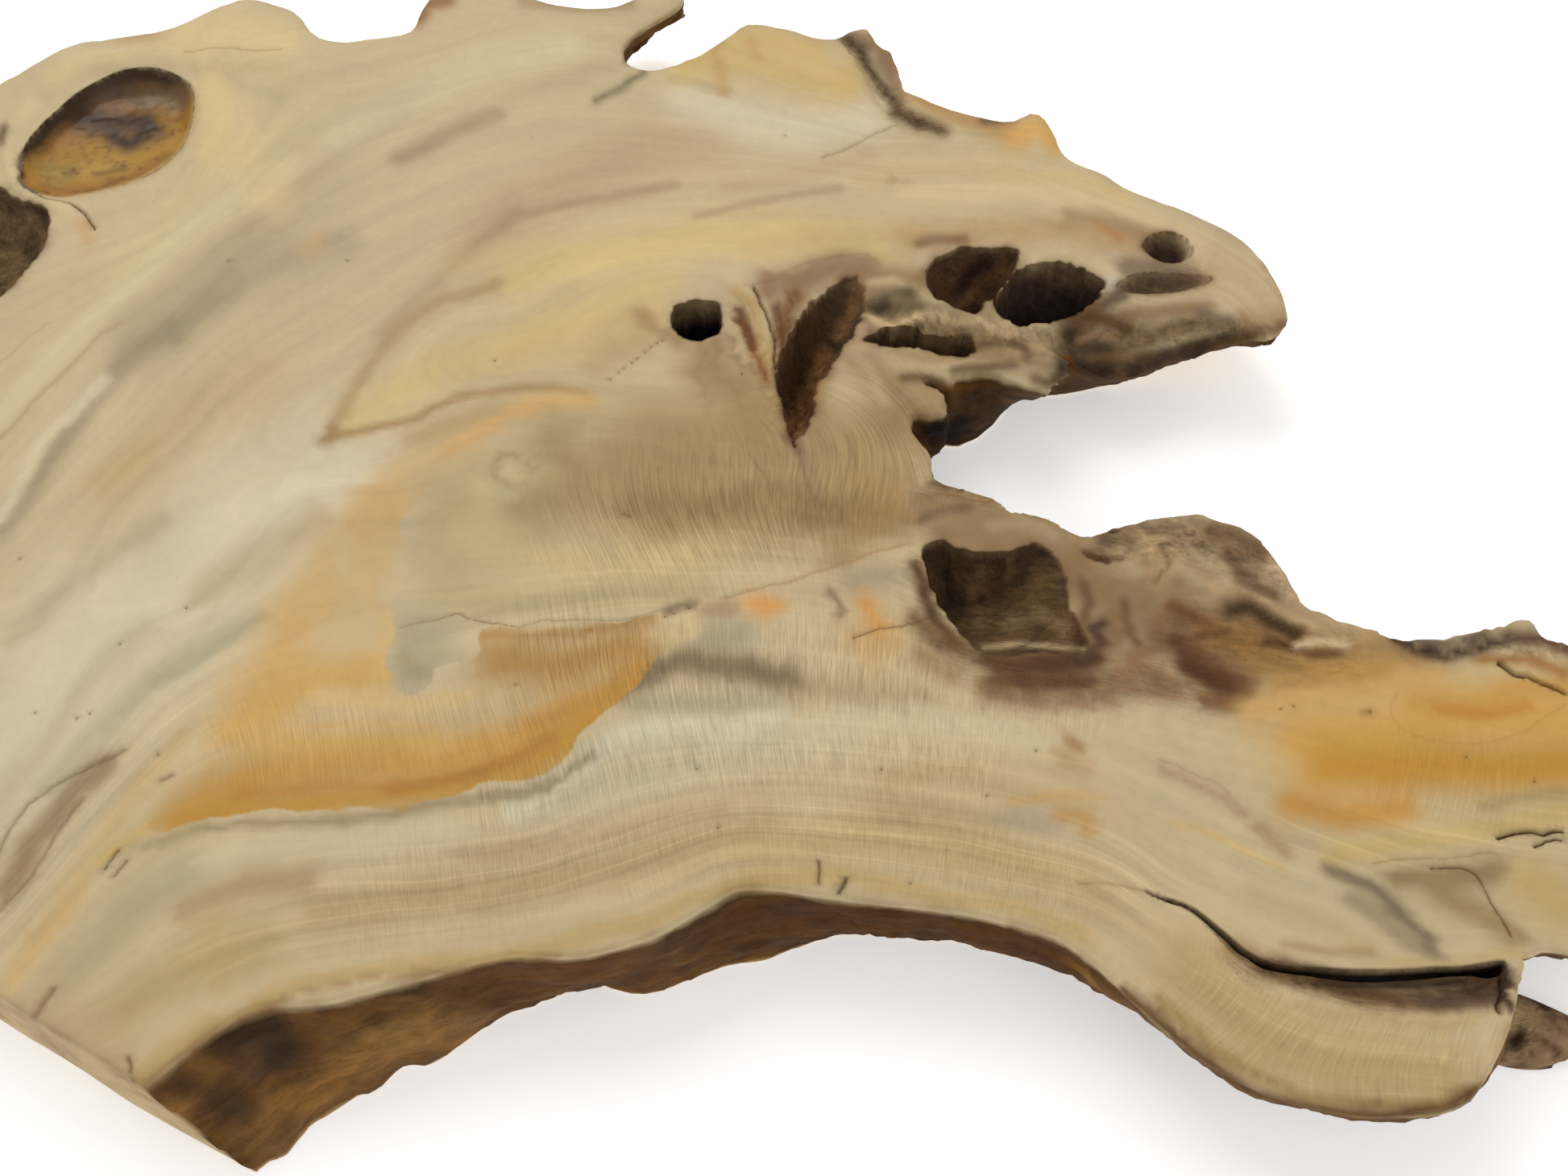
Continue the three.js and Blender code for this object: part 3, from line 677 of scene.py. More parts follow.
coarse_edge = live_edge[::2]
box_low, box_high = live_edge.min(0), live_edge.max(0)
spots = net(box_low, box_high, NET)
spots = spots[rim_distance(spots, coarse_edge) > NET_CLEAR]
spots = spots[rim_gap(spots, 4) < -NET_CLEAR_OF_RIMS]
for low, high in TORN_GROUND:
    spots = spots[~((spots > low) & (spots < high)).all(1)]
fine = net(box_low, box_high, FINE_NET)
fine_gap = rim_gap(fine, 3)
torn_ground = np.zeros(len(fine), bool)
for low, high in TORN_GROUND:
    torn_ground |= ((fine > low) & (fine < high)).all(1)
clear = np.abs(fine_gap - sum(RIM_ROWS) / 2) > FINE_CLEAR_OF_RIMS
fine = fine[((fine_gap > -NET_CLEAR_OF_RIMS) | torn_ground) & clear]
fine = fine[rim_distance(fine, coarse_edge) > FINE_CLEAR]
rim_rows = [rim + side * outward(rim) for rim in pit_rims.values() for side in RIM_ROWS]
inset_rows = [
    row[rim_distance(row, live_edge) > 0.8 * step]
    for row, step in ((live_edge - edge_out * step, step) for step in INSET_ROWS)
]
flanks = []
for line, half, *_ in fine_lines:
    slope = np.gradient(line, axis=0)
    slope = slope / np.linalg.norm(slope, axis=1)[:, None]
    across = np.stack([-slope[:, 1], slope[:, 0]], 1)
    flanks += [line, line + across * half, line - across * half]
flanks = np.concatenate(flanks)
flanks = flanks[rim_distance(flanks, coarse_edge) > LINES_CLEAR]
flanks = flanks[np.abs(rim_gap(flanks, 2)) > FINE_CLEAR_OF_RIMS]
pins = [
    pinholes + PIN_RADIUS * np.array([math.cos(a), math.sin(a)])
    for a in np.arange(PIN_SIDES) * 2 * math.pi / PIN_SIDES
]
face_points, face_triangles, face_rim = sheet(
    live_edge,
    [(rim, True) for rim in pit_rims.values()],
    np.concatenate([spots, fine, *rim_rows, *inset_rows, flanks, pinholes, *pins]),
)

face_inset = np.maximum(0, rim_distance(face_points, coarse_edge))
face_inset[face_rim] = 0
face_sunk, face_level = hollow(face_points)
line_cover = []
for line, half, deep, _, _ in fine_lines:
    gap = line_distance(face_points, line) / half
    line_cover.append(np.clip(1.25 - gap, 0, 1))
    face_sunk += deep * line_cover[-1]
pin_gap = np.full(len(face_points), np.inf)
for pin in pinholes:
    pin_gap = np.minimum(pin_gap, np.linalg.norm(face_points - pin, axis=1))
face_sunk += PIN_DEPTH * np.clip(1 - pin_gap / PIN_DEPTH, 0, 1)
RELIEF = [  # line in picture places, half width px, rise mm
    ([(1060, 48), (1080, 80), (1098, 115), (1130, 150), (1165, 160)], 12, -2.4),
    ([(905, 60), (960, 62), (1030, 85)], 30, 1.2),
    ([(860, 120), (930, 160), (1010, 172)], 24, 0.6),
    ([(1290, 160), (1300, 178)], 14, 1.2),
    ([(12, 150), (8, 190), (20, 232), (50, 250), (85, 262)], 9, 1.1),
    ([(60, 112), (110, 84), (165, 70), (225, 72)], 10, 0.8),
    ([(245, 110), (250, 150), (240, 190), (200, 225)], 14, 0.5),
    ([(0, 1110), (60, 1030), (110, 970), (150, 935)], 16, -0.8),
    ([(1530, 745), (1560, 768), (1610, 790)], 11, -1.8),
    ([(1490, 732), (1540, 740), (1590, 768), (1650, 786)], 7, 0.9),
    ([(1740, 792), (1765, 810), (1800, 813), (1840, 800), (1870, 785)], 11, -1.6),
    ([(1385, 660), (1430, 672)], 13, -1.4),
    ([(1075, 380), (1130, 386)], 14, -1.2),
    ([(1120, 362), (1160, 372), (1215, 388), (1260, 404), (1310, 424)], 7, 1.3),
    ([(1150, 420), (1200, 428), (1250, 420)], 8, -1.2),
    ([(1096, 410), (1120, 404), (1150, 392)], 6, 0.9),
    ([(1110, 440), (1160, 448), (1230, 442)], 7, 0.8),
    ([(1390, 425), (1440, 412), (1500, 402)], 5, 0.7),
    ([(1350, 442), (1400, 440), (1460, 428)], 5, 0.6),
    ([(1230, 625), (1290, 640), (1335, 690)], 14, 0.8),
    ([(1335, 395), (1375, 388), (1415, 384)], 12, -0.9),
    ([(1148, 700), (1160, 730), (1185, 775)], 9, 0.5),
    ([(628, 600), (618, 578), (634, 560), (652, 570), (656, 590)], 6, -0.12),
    ([(637, 582), (640, 590)], 7, 0.12),
]
BRUSH_EDGE = 2.2  # above 2 a stroke is fuller and ends sooner
BRUSH_REACH = 2.6


def brushed(seen, line, half):
    """Cover of a brush stroke: e to the minus of distance over half width to the power 2.2."""
    line = np.asarray(line, float)
    cover = np.zeros(len(seen))
    reach = BRUSH_REACH * half
    near = ((seen > line.min(0) - reach) & (seen < line.max(0) + reach)).all(1)
    cover[near] = np.exp(-((line_distance(seen[near], line) / half) ** BRUSH_EDGE))
    return cover


face_z = face_height(face_points, face_inset)
flat_seen = seen_at(np.column_stack([face_points, np.full(len(face_points), FACE)]))
for line, half, rise in RELIEF:
    face_z += rise * brushed(flat_seen, line, half)
over = np.maximum(0, face_z - EASED_FROM)
face_z = np.minimum(face_z, EASED_FROM) + EASED_BY * np.tanh(over / EASED_BY)
face_z = np.maximum(face_z - face_sunk, LOWEST)
face_z[face_rim] = wall_rings[0][:, 2]

under_edge = wall_rings[-1][:, :2]
under_spots = net(box_low, box_high, UNDER_NET)
under_spots = under_spots[rim_distance(under_spots, under_edge[::3]) > UNDER_CLEAR]
under_points, under_triangles, under_rim = sheet(under_edge, [], under_spots)
under_z = underside_height(under_points)
under_z[under_rim] = wall_rings[-1][:, 2]

# The grain
# The rings of growth run along the stem from the sawn end, part round the rotten crotch, and go on
# into both arms. Lines of equal age are laid in the picture and spread by a thin plate.
RING_LINES = [  # age in mm of wood from the front edge, and the line in picture places
    (0, [(180, 1352), (250, 1290), (345, 1243), (520, 1215), (690, 1190), (830, 1150), (925, 1104),
         (1060, 1115), (1250, 1146), (1345, 1185), (1460, 1290), (1620, 1372), (1790, 1380)]),
    (14, [(60, 1295), (170, 1250), (260, 1190), (400, 1150), (600, 1125), (760, 1085), (900, 1035),
          (1050, 1045), (1250, 1080), (1380, 1110), (1500, 1190), (1620, 1260), (1800, 1290)]),
    (30, [(20, 1270), (110, 1180), (250, 1090), (450, 1060), (650, 1035), (800, 985), (950, 960),
          (1120, 975), (1300, 1010), (1450, 1085), (1600, 1150), (1860, 1185)]),
    (46, [(0, 1215), (120, 1085), (235, 990), (420, 960), (620, 930), (760, 870), (900, 865),
          (1100, 885), (1300, 920), (1460, 985), (1620, 1060), (1800, 1110), (1940, 1130)]),
    (62, [(0, 1130), (180, 930), (350, 830), (520, 800), (700, 775), (860, 760), (1050, 775),
          (1200, 830), (1400, 880), (1600, 930), (1800, 980), (1940, 1010)]),
    (78, [(0, 1030), (200, 800), (400, 650), (560, 640), (760, 640), (950, 655), (1120, 680),
          (1350, 790), (1600, 840), (1780, 870), (1940, 900)]),
    (92, [(0, 950), (200, 740), (390, 575), (600, 525), (760, 535), (900, 560), (1040, 590),
          (1130, 620)]),
    (104, [(410, 545), (600, 490), (760, 500), (860, 510), (960, 480), (1010, 380), (960, 330),
           (850, 320), (640, 380), (500, 460)]),
    (116, [(600, 455), (760, 450), (860, 455), (915, 400), (860, 355), (740, 385)]),
    (92, [(0, 810), (200, 610), (400, 450), (600, 330), (850, 265), (1050, 265), (1250, 285),
          (1450, 340)]),
    (78, [(0, 740), (200, 540), (400, 380), (600, 270), (800, 225), (1000, 225), (1200, 240),
          (1400, 290), (1560, 390)]),
    (62, [(0, 640), (150, 470), (300, 340), (480, 240), (650, 180), (850, 170), (1050, 200),
          (1250, 212), (1420, 262), (1575, 340)]),
    (100, [(1340, 458), (1440, 446), (1540, 420)]),
    (106, [(1400, 398), (1490, 388), (1550, 392)]),
    (46, [(0, 540), (120, 400), (260, 290), (420, 180), (600, 115), (740, 100), (900, 130),
          (1080, 175), (1320, 200)]),
    (30, [(290, 210), (360, 130), (480, 90), (600, 50), (700, 30)]),
    (22, [(265, 110), (285, 180), (250, 240), (180, 285), (135, 300)]),
    (12, [(24, 204), (56, 145), (120, 99), (214, 90), (241, 107), (233, 166), (187, 212),
          (94, 241)]),
]
PLACES_AT_ONCE = 8000
PLATE_SLACK = 25.0  # how far the plate may pass beside its lines to stay smooth
GRAIN_FLOW = np.array([0.85, 0.53])  # the stem comes in from the lower left
BUMP_SPACING = 24.0
BUMP_REACH = 30.0
TEST_SPACING = 9.0
TEST_BEYOND = 8.0
PULL_DAMPING = 0.004


def bend_law(gap):
    """Bending of a thin plate pressed at a point: squared distance times its logarithm."""
    square = (gap * gap).sum(-1)
    return 0.5 * square * np.log(square + 1e-6)


ring_places = np.concatenate([on_face(line) for _, line in RING_LINES])
ring_ages = np.concatenate([np.full(len(line), age, float) for age, line in RING_LINES])
count = len(ring_places)
plain = np.column_stack([np.ones(count), ring_places])
system = np.zeros((count + 3, count + 3))
system[:count, :count] = bend_law(ring_places[:, None] - ring_places[None])
system[:count, :count] += PLATE_SLACK * np.eye(count)
system[:count, count:] = plain
system[count:, :count] = plain.T
plate = np.linalg.solve(system, np.concatenate([ring_ages, np.zeros(3)]))


def ring_age(places):
    """Height of a thin plate bent through the listed lines, in mm of wood from the front."""
    found = []
    for part in np.array_split(places[:, :2], 1 + len(places) // PLACES_AT_ONCE):
        law = bend_law(part[:, None] - ring_places[None])
        found.append(law @ plate[:count] + plate[count] + part @ plate[count + 1 :])
    return np.concatenate(found)


def ring_slope(places):
    """Slope of the rings' age along X and Y, from its change over a millimetre."""
    steps = (np.array([0.5, 0.0]), np.array([0.0, 0.5]))
    return np.stack([ring_age(places + s) - ring_age(places - s) for s in steps], 1)


along_knots = net(box_low, box_high, BUMP_SPACING)
along_tests = net(box_low, box_high, TEST_SPACING)
along_tests = along_tests[rim_distance(along_tests, coarse_edge) > -TEST_BEYOND]
slope = ring_slope(along_tests)
steep = np.linalg.norm(slope, axis=1)
run_way = np.stack([slope[:, 1], -slope[:, 0]], 1) / np.maximum(steep, 1e-6)[:, None]
run_way = run_way * np.where(run_way @ GRAIN_FLOW < 0, -1, 1)[:, None]
weight = np.minimum(1, steep)[:, None, None]
gap = (along_tests[:, None] - along_knots[None]) / BUMP_REACH
bump = np.exp(-(gap * gap).sum(2))
rises = (-2 * gap * bump[..., None] / BUMP_REACH * weight).transpose(0, 2, 1)
damped = np.vstack([
    rises.reshape(-1, len(along_knots)), PULL_DAMPING * np.eye(len(along_knots)),
])
wanted = ((run_way - GRAIN_FLOW) * weight[:, 0]).reshape(-1)
wanted = np.concatenate([wanted, np.zeros(len(along_knots))])
along_pull = np.linalg.lstsq(damped, wanted, rcond=None)[0]


def grain_run(places):
    """Distance along the grain, mm: the stem's heading, plus soft bumps fitted so that its slope
    follows the rings."""
    found = []
    for part in np.array_split(places[:, :2], 1 + len(places) // PLACES_AT_ONCE):
        gap = (part[:, None] - along_knots[None]) / BUMP_REACH
        found.append(part @ GRAIN_FLOW + np.exp(-(gap * gap).sum(2)) @ along_pull)
    return np.concatenate(found)


# The stains
# Fungi and minerals have coloured the pale wood in streaks, clouds and crescents, and a few strokes
# are
# painted shade. Each is a brush stroke: colour, strength, half width in pixels, and the line it
# follows in picture places.
UNLIT = np.array([0.96, 0.90, 0.785])  # share of a seen colour that isn't sheen or studio light
PALE_WOOD = "#c8b794"
DEEPENED = 1.13
STEM_STREAKS = [
    ("#d6caae", 0.9, 100, [(0, 930), (140, 770), (280, 650), (400, 600)]),
    ("#c4b28f", 0.85, 50, [(120, 640), (230, 520), (340, 430), (470, 340)]),
    ("#beaa86", 0.6, 34, [(150, 600), (250, 500), (330, 470)]),
    ("#b4a383", 0.8, 44, [(180, 420), (260, 350), (340, 300)]),
    ("#c5b492", 0.7, 90, [(420, 330), (540, 250), (700, 170), (860, 150)]),
    ("#9e8e74", 0.8, 15, [(0, 655), (60, 575), (110, 500), (160, 440), (215, 405)]),
    ("#d6caaa", 0.85, 9, [(0, 640), (60, 545), (130, 470)]),
    ("#d4c6a0", 0.85, 17, [(0, 520), (60, 450), (130, 385), (220, 300), (350, 200)]),
    ("#cebe96", 0.6, 22, [(150, 330), (220, 260), (300, 190), (400, 130)]),
    ("#9c8e74", 0.8, 15, [(218, 404), (262, 372), (292, 350)]),
    ("#ac9c7f", 0.6, 22, [(290, 352), (350, 320), (430, 300)]),
    ("#b09e7e", 0.6, 12, [(300, 290), (400, 210), (500, 140)]),
    ("#a48f70", 0.75, 12, [(496, 192), (560, 166), (622, 142)]),
    ("#cec19e", 0.75, 26, [(420, 170), (510, 120), (600, 78), (700, 60)]),
    ("#b8a684", 0.5, 16, [(640, 120), (720, 90), (800, 60)]),
    ("#bca482", 0.7, 40, [(600, 290), (700, 230), (800, 190), (880, 170)]),
    ("#a8906e", 0.6, 8, [(560, 330), (640, 270), (720, 250), (805, 234), (838, 228)]),
    ("#ac9674", 0.5, 12, [(470, 420), (560, 330), (640, 270)]),
    ("#ccb88c", 0.5, 12, [(560, 330), (620, 310), (680, 300)]),
    ("#cec09e", 0.5, 12, [(210, 640), (300, 590), (390, 575)]),
    ("#b8a580", 0.6, 20, [(250, 740), (330, 680), (400, 640)]),
    ("#b0a07e", 0.5, 14, [(20, 800), (120, 700), (200, 640)]),
    ("#b8aa8a", 0.5, 18, [(0, 1000), (80, 880), (180, 780)]),
    ("#ceae7c", 0.5, 10, [(388, 305), (396, 300)]),
    ("#bea678", 0.55, 16, [(120, 600), (180, 560)]),
]
HEART_TONES = [
    ("#d4bc84", 0.85, 26, [(640, 345), (760, 318), (880, 290), (1000, 292), (1090, 312)]),
    ("#d0ba84", 0.8, 24, [(440, 522), (540, 462), (640, 425), (740, 385), (820, 350)]),
    ("#ceb27e", 0.6, 26, [(640, 440), (740, 410), (810, 390)]),
    ("#aa9164", 0.65, 10, [(410, 548), (440, 480), (490, 415), (550, 372), (620, 350)]),
    ("#a07e50", 0.7, 6, [(398, 546), (443, 537), (507, 518), (579, 488), (686, 479),
     (735, 492)]),
    ("#b29468", 0.55, 16, [(520, 540), (600, 512), (680, 500)]),
    ("#d4ae72", 0.85, 11, [(560, 556), (600, 530), (640, 505), (690, 494), (735, 500)]),
    ("#ceac7a", 0.6, 22, [(470, 610), (540, 570), (590, 545)]),
    ("#b2a076", 0.8, 66, [(570, 640), (700, 600), (820, 560)]),
    ("#c8b68e", 0.75, 22, [(590, 618), (604, 640), (570, 664)]),
    ("#a08e68", 0.7, 34, [(690, 545), (715, 600), (660, 640)]),
    ("#c8bb94", 0.6, 16, [(730, 540), (745, 590)]),
    ("#9e906c", 0.7, 5, [(622, 600), (616, 580), (630, 562), (648, 566), (655, 584)]),
    ("#ccbe98", 0.6, 7, [(634, 582), (640, 592)]),
    ("#c6b892", 0.5, 8, [(590, 606), (620, 614), (645, 620)]),
    ("#c0b28c", 0.4, 5, [(650, 560), (660, 580), (656, 600)]),
    ("#b0966c", 0.5, 22, [(740, 450), (790, 420)]),
    ("#967650", 0.6, 11, [(800, 384), (822, 410), (840, 424)]),
    ("#ac9270", 0.6, 24, [(860, 450), (900, 500), (930, 550)]),
    ("#8c7250", 0.6, 5, [(886, 432), (906, 480), (928, 536)]),
    ("#8c7250", 0.6, 4, [(902, 426), (936, 470), (962, 516)]),
    ("#967c5a", 0.45, 5, [(866, 430), (872, 480), (880, 520)]),
    ("#ceb68e", 0.6, 5, [(896, 438), (918, 496), (944, 548)]),
    ("#c8ae84", 0.5, 6, [(914, 410), (940, 450), (958, 496)]),
    ("#b09070", 0.8, 9, [(948, 352), (1000, 334), (1050, 324), (1080, 330)]),
    ("#9c825c", 0.8, 30, [(880, 440), (920, 490), (960, 560)]),
    ("#ac946e", 0.7, 26, [(1060, 560), (1090, 520), (1130, 540)]),
    ("#96744c", 0.6, 14, [(1030, 440), (1022, 480), (1010, 530)]),
    ("#ceb07c", 0.5, 12, [(1080, 350), (1100, 400)]),
]
HATCHED_TONES = [
    ("#a68e66", 0.9, 70, [(760, 600), (860, 560), (960, 540), (1060, 560)]),
    ("#a0865a", 0.85, 50, [(830, 640), (960, 630), (1070, 620)]),
    ("#8e744c", 0.7, 22, [(1000, 640), (1060, 640), (1120, 640)]),
    ("#947a54", 0.6, 17, [(780, 625), (880, 622), (960, 606), (1050, 640)]),
    ("#c8b58a", 0.7, 26, [(600, 690), (720, 700), (830, 690), (900, 680)]),
    ("#cebc8e", 0.5, 16, [(770, 690), (850, 692)]),
    ("#b6a67c", 0.6, 20, [(540, 740), (640, 745), (760, 740), (860, 730)]),
    ("#a2845a", 0.7, 26, [(1040, 690), (1080, 650), (1120, 600)]),
    ("#c4b390", 0.7, 17, [(950, 752), (1010, 730), (1090, 705), (1130, 692)]),
    ("#a4977c", 0.6, 20, [(1060, 724), (1100, 716)]),
    ("#d69c54", 0.85, 17, [(932, 752), (950, 756)]),
    ("#d49a50", 0.85, 17, [(1076, 750), (1086, 772)]),
    ("#c8a26c", 0.7, 22, [(1060, 786), (1080, 800), (1110, 790)]),
    ("#7e624a", 0.7, 7, [(1022, 734), (1036, 764)]),
    ("#5c4430", 0.7, 8, [(824, 758), (850, 752)]),
    ("#967654", 0.6, 12, [(870, 760), (900, 756)]),
    ("#ceb88c", 0.6, 16, [(820, 800), (850, 785)]),
    ("#a8a084", 0.8, 20, [(880, 790), (920, 786)]),
    ("#7a684e", 0.9, 21, [(770, 855), (830, 828), (900, 826), (980, 838)]),
    ("#a8a084", 0.8, 14, [(790, 880), (880, 878), (960, 872)]),
    ("#a69470", 0.6, 24, [(1000, 850), (1080, 850), (1140, 860)]),
    ("#d2ccb2", 0.95, 18, [(640, 1000), (700, 975), (740, 940), (790, 918), (860, 908),
     (960, 896)]),
    ("#c8bc9c", 0.7, 30, [(700, 1010), (820, 960), (940, 930), (1060, 910)]),
    ("#d0c2a0", 0.8, 26, [(1000, 905), (1100, 895), (1220, 905), (1300, 930)]),
    ("#c4ae8a", 0.6, 36, [(1100, 990), (1250, 980), (1380, 1000)]),
    ("#b29c78", 0.6, 14, [(1094, 1010), (1160, 1020), (1240, 1030)]),
    ("#baa47a", 0.7, 10, [(1100, 975), (1150, 962), (1220, 958)]),
    ("#a89c86", 0.6, 20, [(1250, 1010), (1320, 1020)]),
    ("#a47c4e", 0.8, 9, [(1322, 920), (1334, 926)]),
    ("#b08c60", 0.65, 14, [(1320, 945), (1345, 955)]),
    ("#c09860", 0.8, 11, [(1322, 1012), (1352, 1020), (1366, 1040)]),
    ("#cca668", 0.7, 6, [(1262, 992), (1310, 990), (1360, 994)]),
    ("#ccbc9a", 0.8, 36, [(1380, 960), (1460, 1010), (1560, 1070), (1680, 1120)]),
    ("#a88c6e", 0.6, 8, [(1430, 950), (1490, 975), (1530, 1005)]),
    ("#ceb07a", 0.7, 5, [(1450, 1020), (1530, 1045), (1600, 1080)]),
]
FRONT_BANDS = [
    ("#cec2a0", 0.85, 18, [(200, 1100), (290, 1062), (380, 1046), (480, 1042), (560, 1030)]),
    ("#9c8c6a", 0.85, 7, [(186, 1050), (240, 1030), (330, 1018), (400, 1018), (440, 1022),
     (486, 1014), (550, 996), (640, 984), (690, 974), (730, 940)]),
    ("#ae9872", 0.8, 24, [(240, 1130), (290, 1104), (370, 1092)]),
    ("#b49e76", 0.8, 30, [(400, 1130), (560, 1110), (700, 1090), (830, 1060), (940, 1030)]),
    ("#c4b08c", 0.6, 14, [(600, 1050), (720, 1030), (840, 1000), (960, 975)]),
    ("#b29a76", 0.6, 10, [(560, 1062), (700, 1050), (800, 1026), (900, 1000)]),
    ("#bca478", 0.7, 34, [(960, 1060), (1080, 1040), (1220, 1060), (1360, 1110)]),
    ("#c8b48e", 0.7, 24, [(1330, 1110), (1420, 1150), (1500, 1200)]),
    ("#c4ac7e", 0.6, 16, [(270, 1190), (262, 1150), (270, 1210)]),
    ("#b29e70", 0.7, 34, [(150, 1260), (240, 1200), (330, 1170)]),
    ("#bca06c", 0.75, 12, [(170, 1345), (250, 1275), (345, 1226), (520, 1198), (690, 1172),
     (830, 1132), (925, 1088), (1060, 1098), (1250, 1128),
     (1350, 1170)]),
    ("#96764a", 0.5, 5, [(180, 1350), (250, 1288), (345, 1238), (520, 1210), (690, 1184)]),
    ("#b2a682", 0.7, 26, [(20, 1290), (90, 1200), (170, 1130), (220, 1090)]),
    ("#bea67a", 0.6, 26, [(60, 1300), (130, 1330)]),
    ("#bab092", 0.75, 15, [(60, 978), (107, 915), (179, 852), (250, 803), (320, 762)]),
    ("#aca488", 0.7, 8, [(200, 850), (260, 806), (330, 765)]),
    ("#9a8462", 0.9, 15, [(0, 1106), (46, 1040), (90, 985), (130, 950)]),
    ("#c4ac7e", 0.7, 14, [(30, 1165), (110, 1065), (180, 965), (236, 905)]),
    ("#d0b474", 0.85, 6, [(110, 1085), (150, 1048), (190, 1022)]),
    ("#ceae78", 0.75, 11, [(0, 1222), (50, 1160), (100, 1105)]),
    ("#c8ac78", 0.6, 8, [(220, 1012), (250, 990), (262, 960)]),
    ("#b2a278", 0.6, 12, [(150, 1060), (190, 1050), (230, 1030)]),
    ("#baa480", 0.5, 50, [(60, 1250), (120, 1300)]),
]
LEDGE_TONES = [
    ("#d6caac", 0.9, 30, [(850, 118), (930, 150), (1010, 160), (1070, 152)]),
    ("#b2a484", 0.6, 8, [(830, 96), (870, 100), (900, 112)]),
    ("#ceb47c", 0.97, 27, [(850, 78), (900, 66), (950, 74), (1000, 92), (1046, 100)]),
    ("#ceb47c", 0.9, 16, [(910, 44), (960, 50), (1010, 64)]),
    ("#c09e64", 0.6, 9, [(886, 52), (892, 90), (900, 112)]),
    ("#c4a064", 0.5, 6, [(930, 50), (940, 70)]),
    ("#907a5e", 0.95, 10, [(1060, 45), (1088, 60), (1105, 90), (1116, 120)]),
    ("#624e3c", 0.95, 8, [(1044, 44), (1066, 62), (1090, 102), (1112, 135), (1140, 155)]),
    ("#9a7e62", 0.9, 10, [(1084, 44), (1098, 64), (1112, 88)]),
    ("#745e48", 0.9, 9, [(1110, 140), (1140, 150), (1172, 162)]),
    ("#b69464", 0.95, 15, [(1128, 112), (1180, 138), (1226, 156), (1258, 168)]),
    ("#68563e", 0.85, 7, [(1222, 149), (1258, 151)]),
    ("#d4ac6a", 0.97, 18, [(1262, 172), (1288, 156), (1308, 176)]),
    ("#ceb890", 0.7, 14, [(1070, 222), (1150, 205), (1260, 205)]),
    ("#b0906a", 0.6, 6, [(1104, 222), (1108, 224)]),
    ("#b0906a", 0.6, 6, [(1122, 228), (1128, 230)]),
    ("#a89274", 0.6, 5, [(860, 268), (940, 252), (1040, 232)]),
    ("#bea884", 0.5, 12, [(900, 235), (1000, 215), (1080, 190)]),
    ("#966c44", 0.9, 10, [(520, 24), (532, 6), (560, 0)]),
    ("#a48e6c", 0.7, 9, [(650, 4), (720, 8), (780, 6)]),
    ("#8a8266", 0.8, 6, [(742, 124), (770, 108), (796, 90)]),
    ("#826c50", 0.7, 4, [(800, 40), (780, 56), (772, 76)]),
    ("#d8c496", 0.8, 24, [(230, 50), (290, 36), (350, 50)]),
    ("#d6c298", 0.7, 30, [(280, 130), (300, 190), (340, 250)]),
    ("#c4b086", 0.5, 10, [(240, 84), (310, 84), (350, 92)]),
    ("#d6c28e", 0.85, 17, [(262, 110), (272, 150), (262, 190)]),
    ("#baac86", 0.5, 8, [(282, 90), (300, 112), (350, 122)]),
    ("#d0c098", 0.85, 9, [(40, 128), (14, 160), (10, 205), (36, 246), (80, 260)]),
    ("#cebc92", 0.8, 12, [(60, 100), (110, 74), (170, 62), (220, 64)]),
    ("#b6986c", 0.5, 9, [(150, 46), (190, 46)]),
    ("#c8a070", 0.6, 10, [(100, 280), (106, 300)]),
    ("#5a422e", 0.8, 7, [(0, 172), (6, 156)]),
]
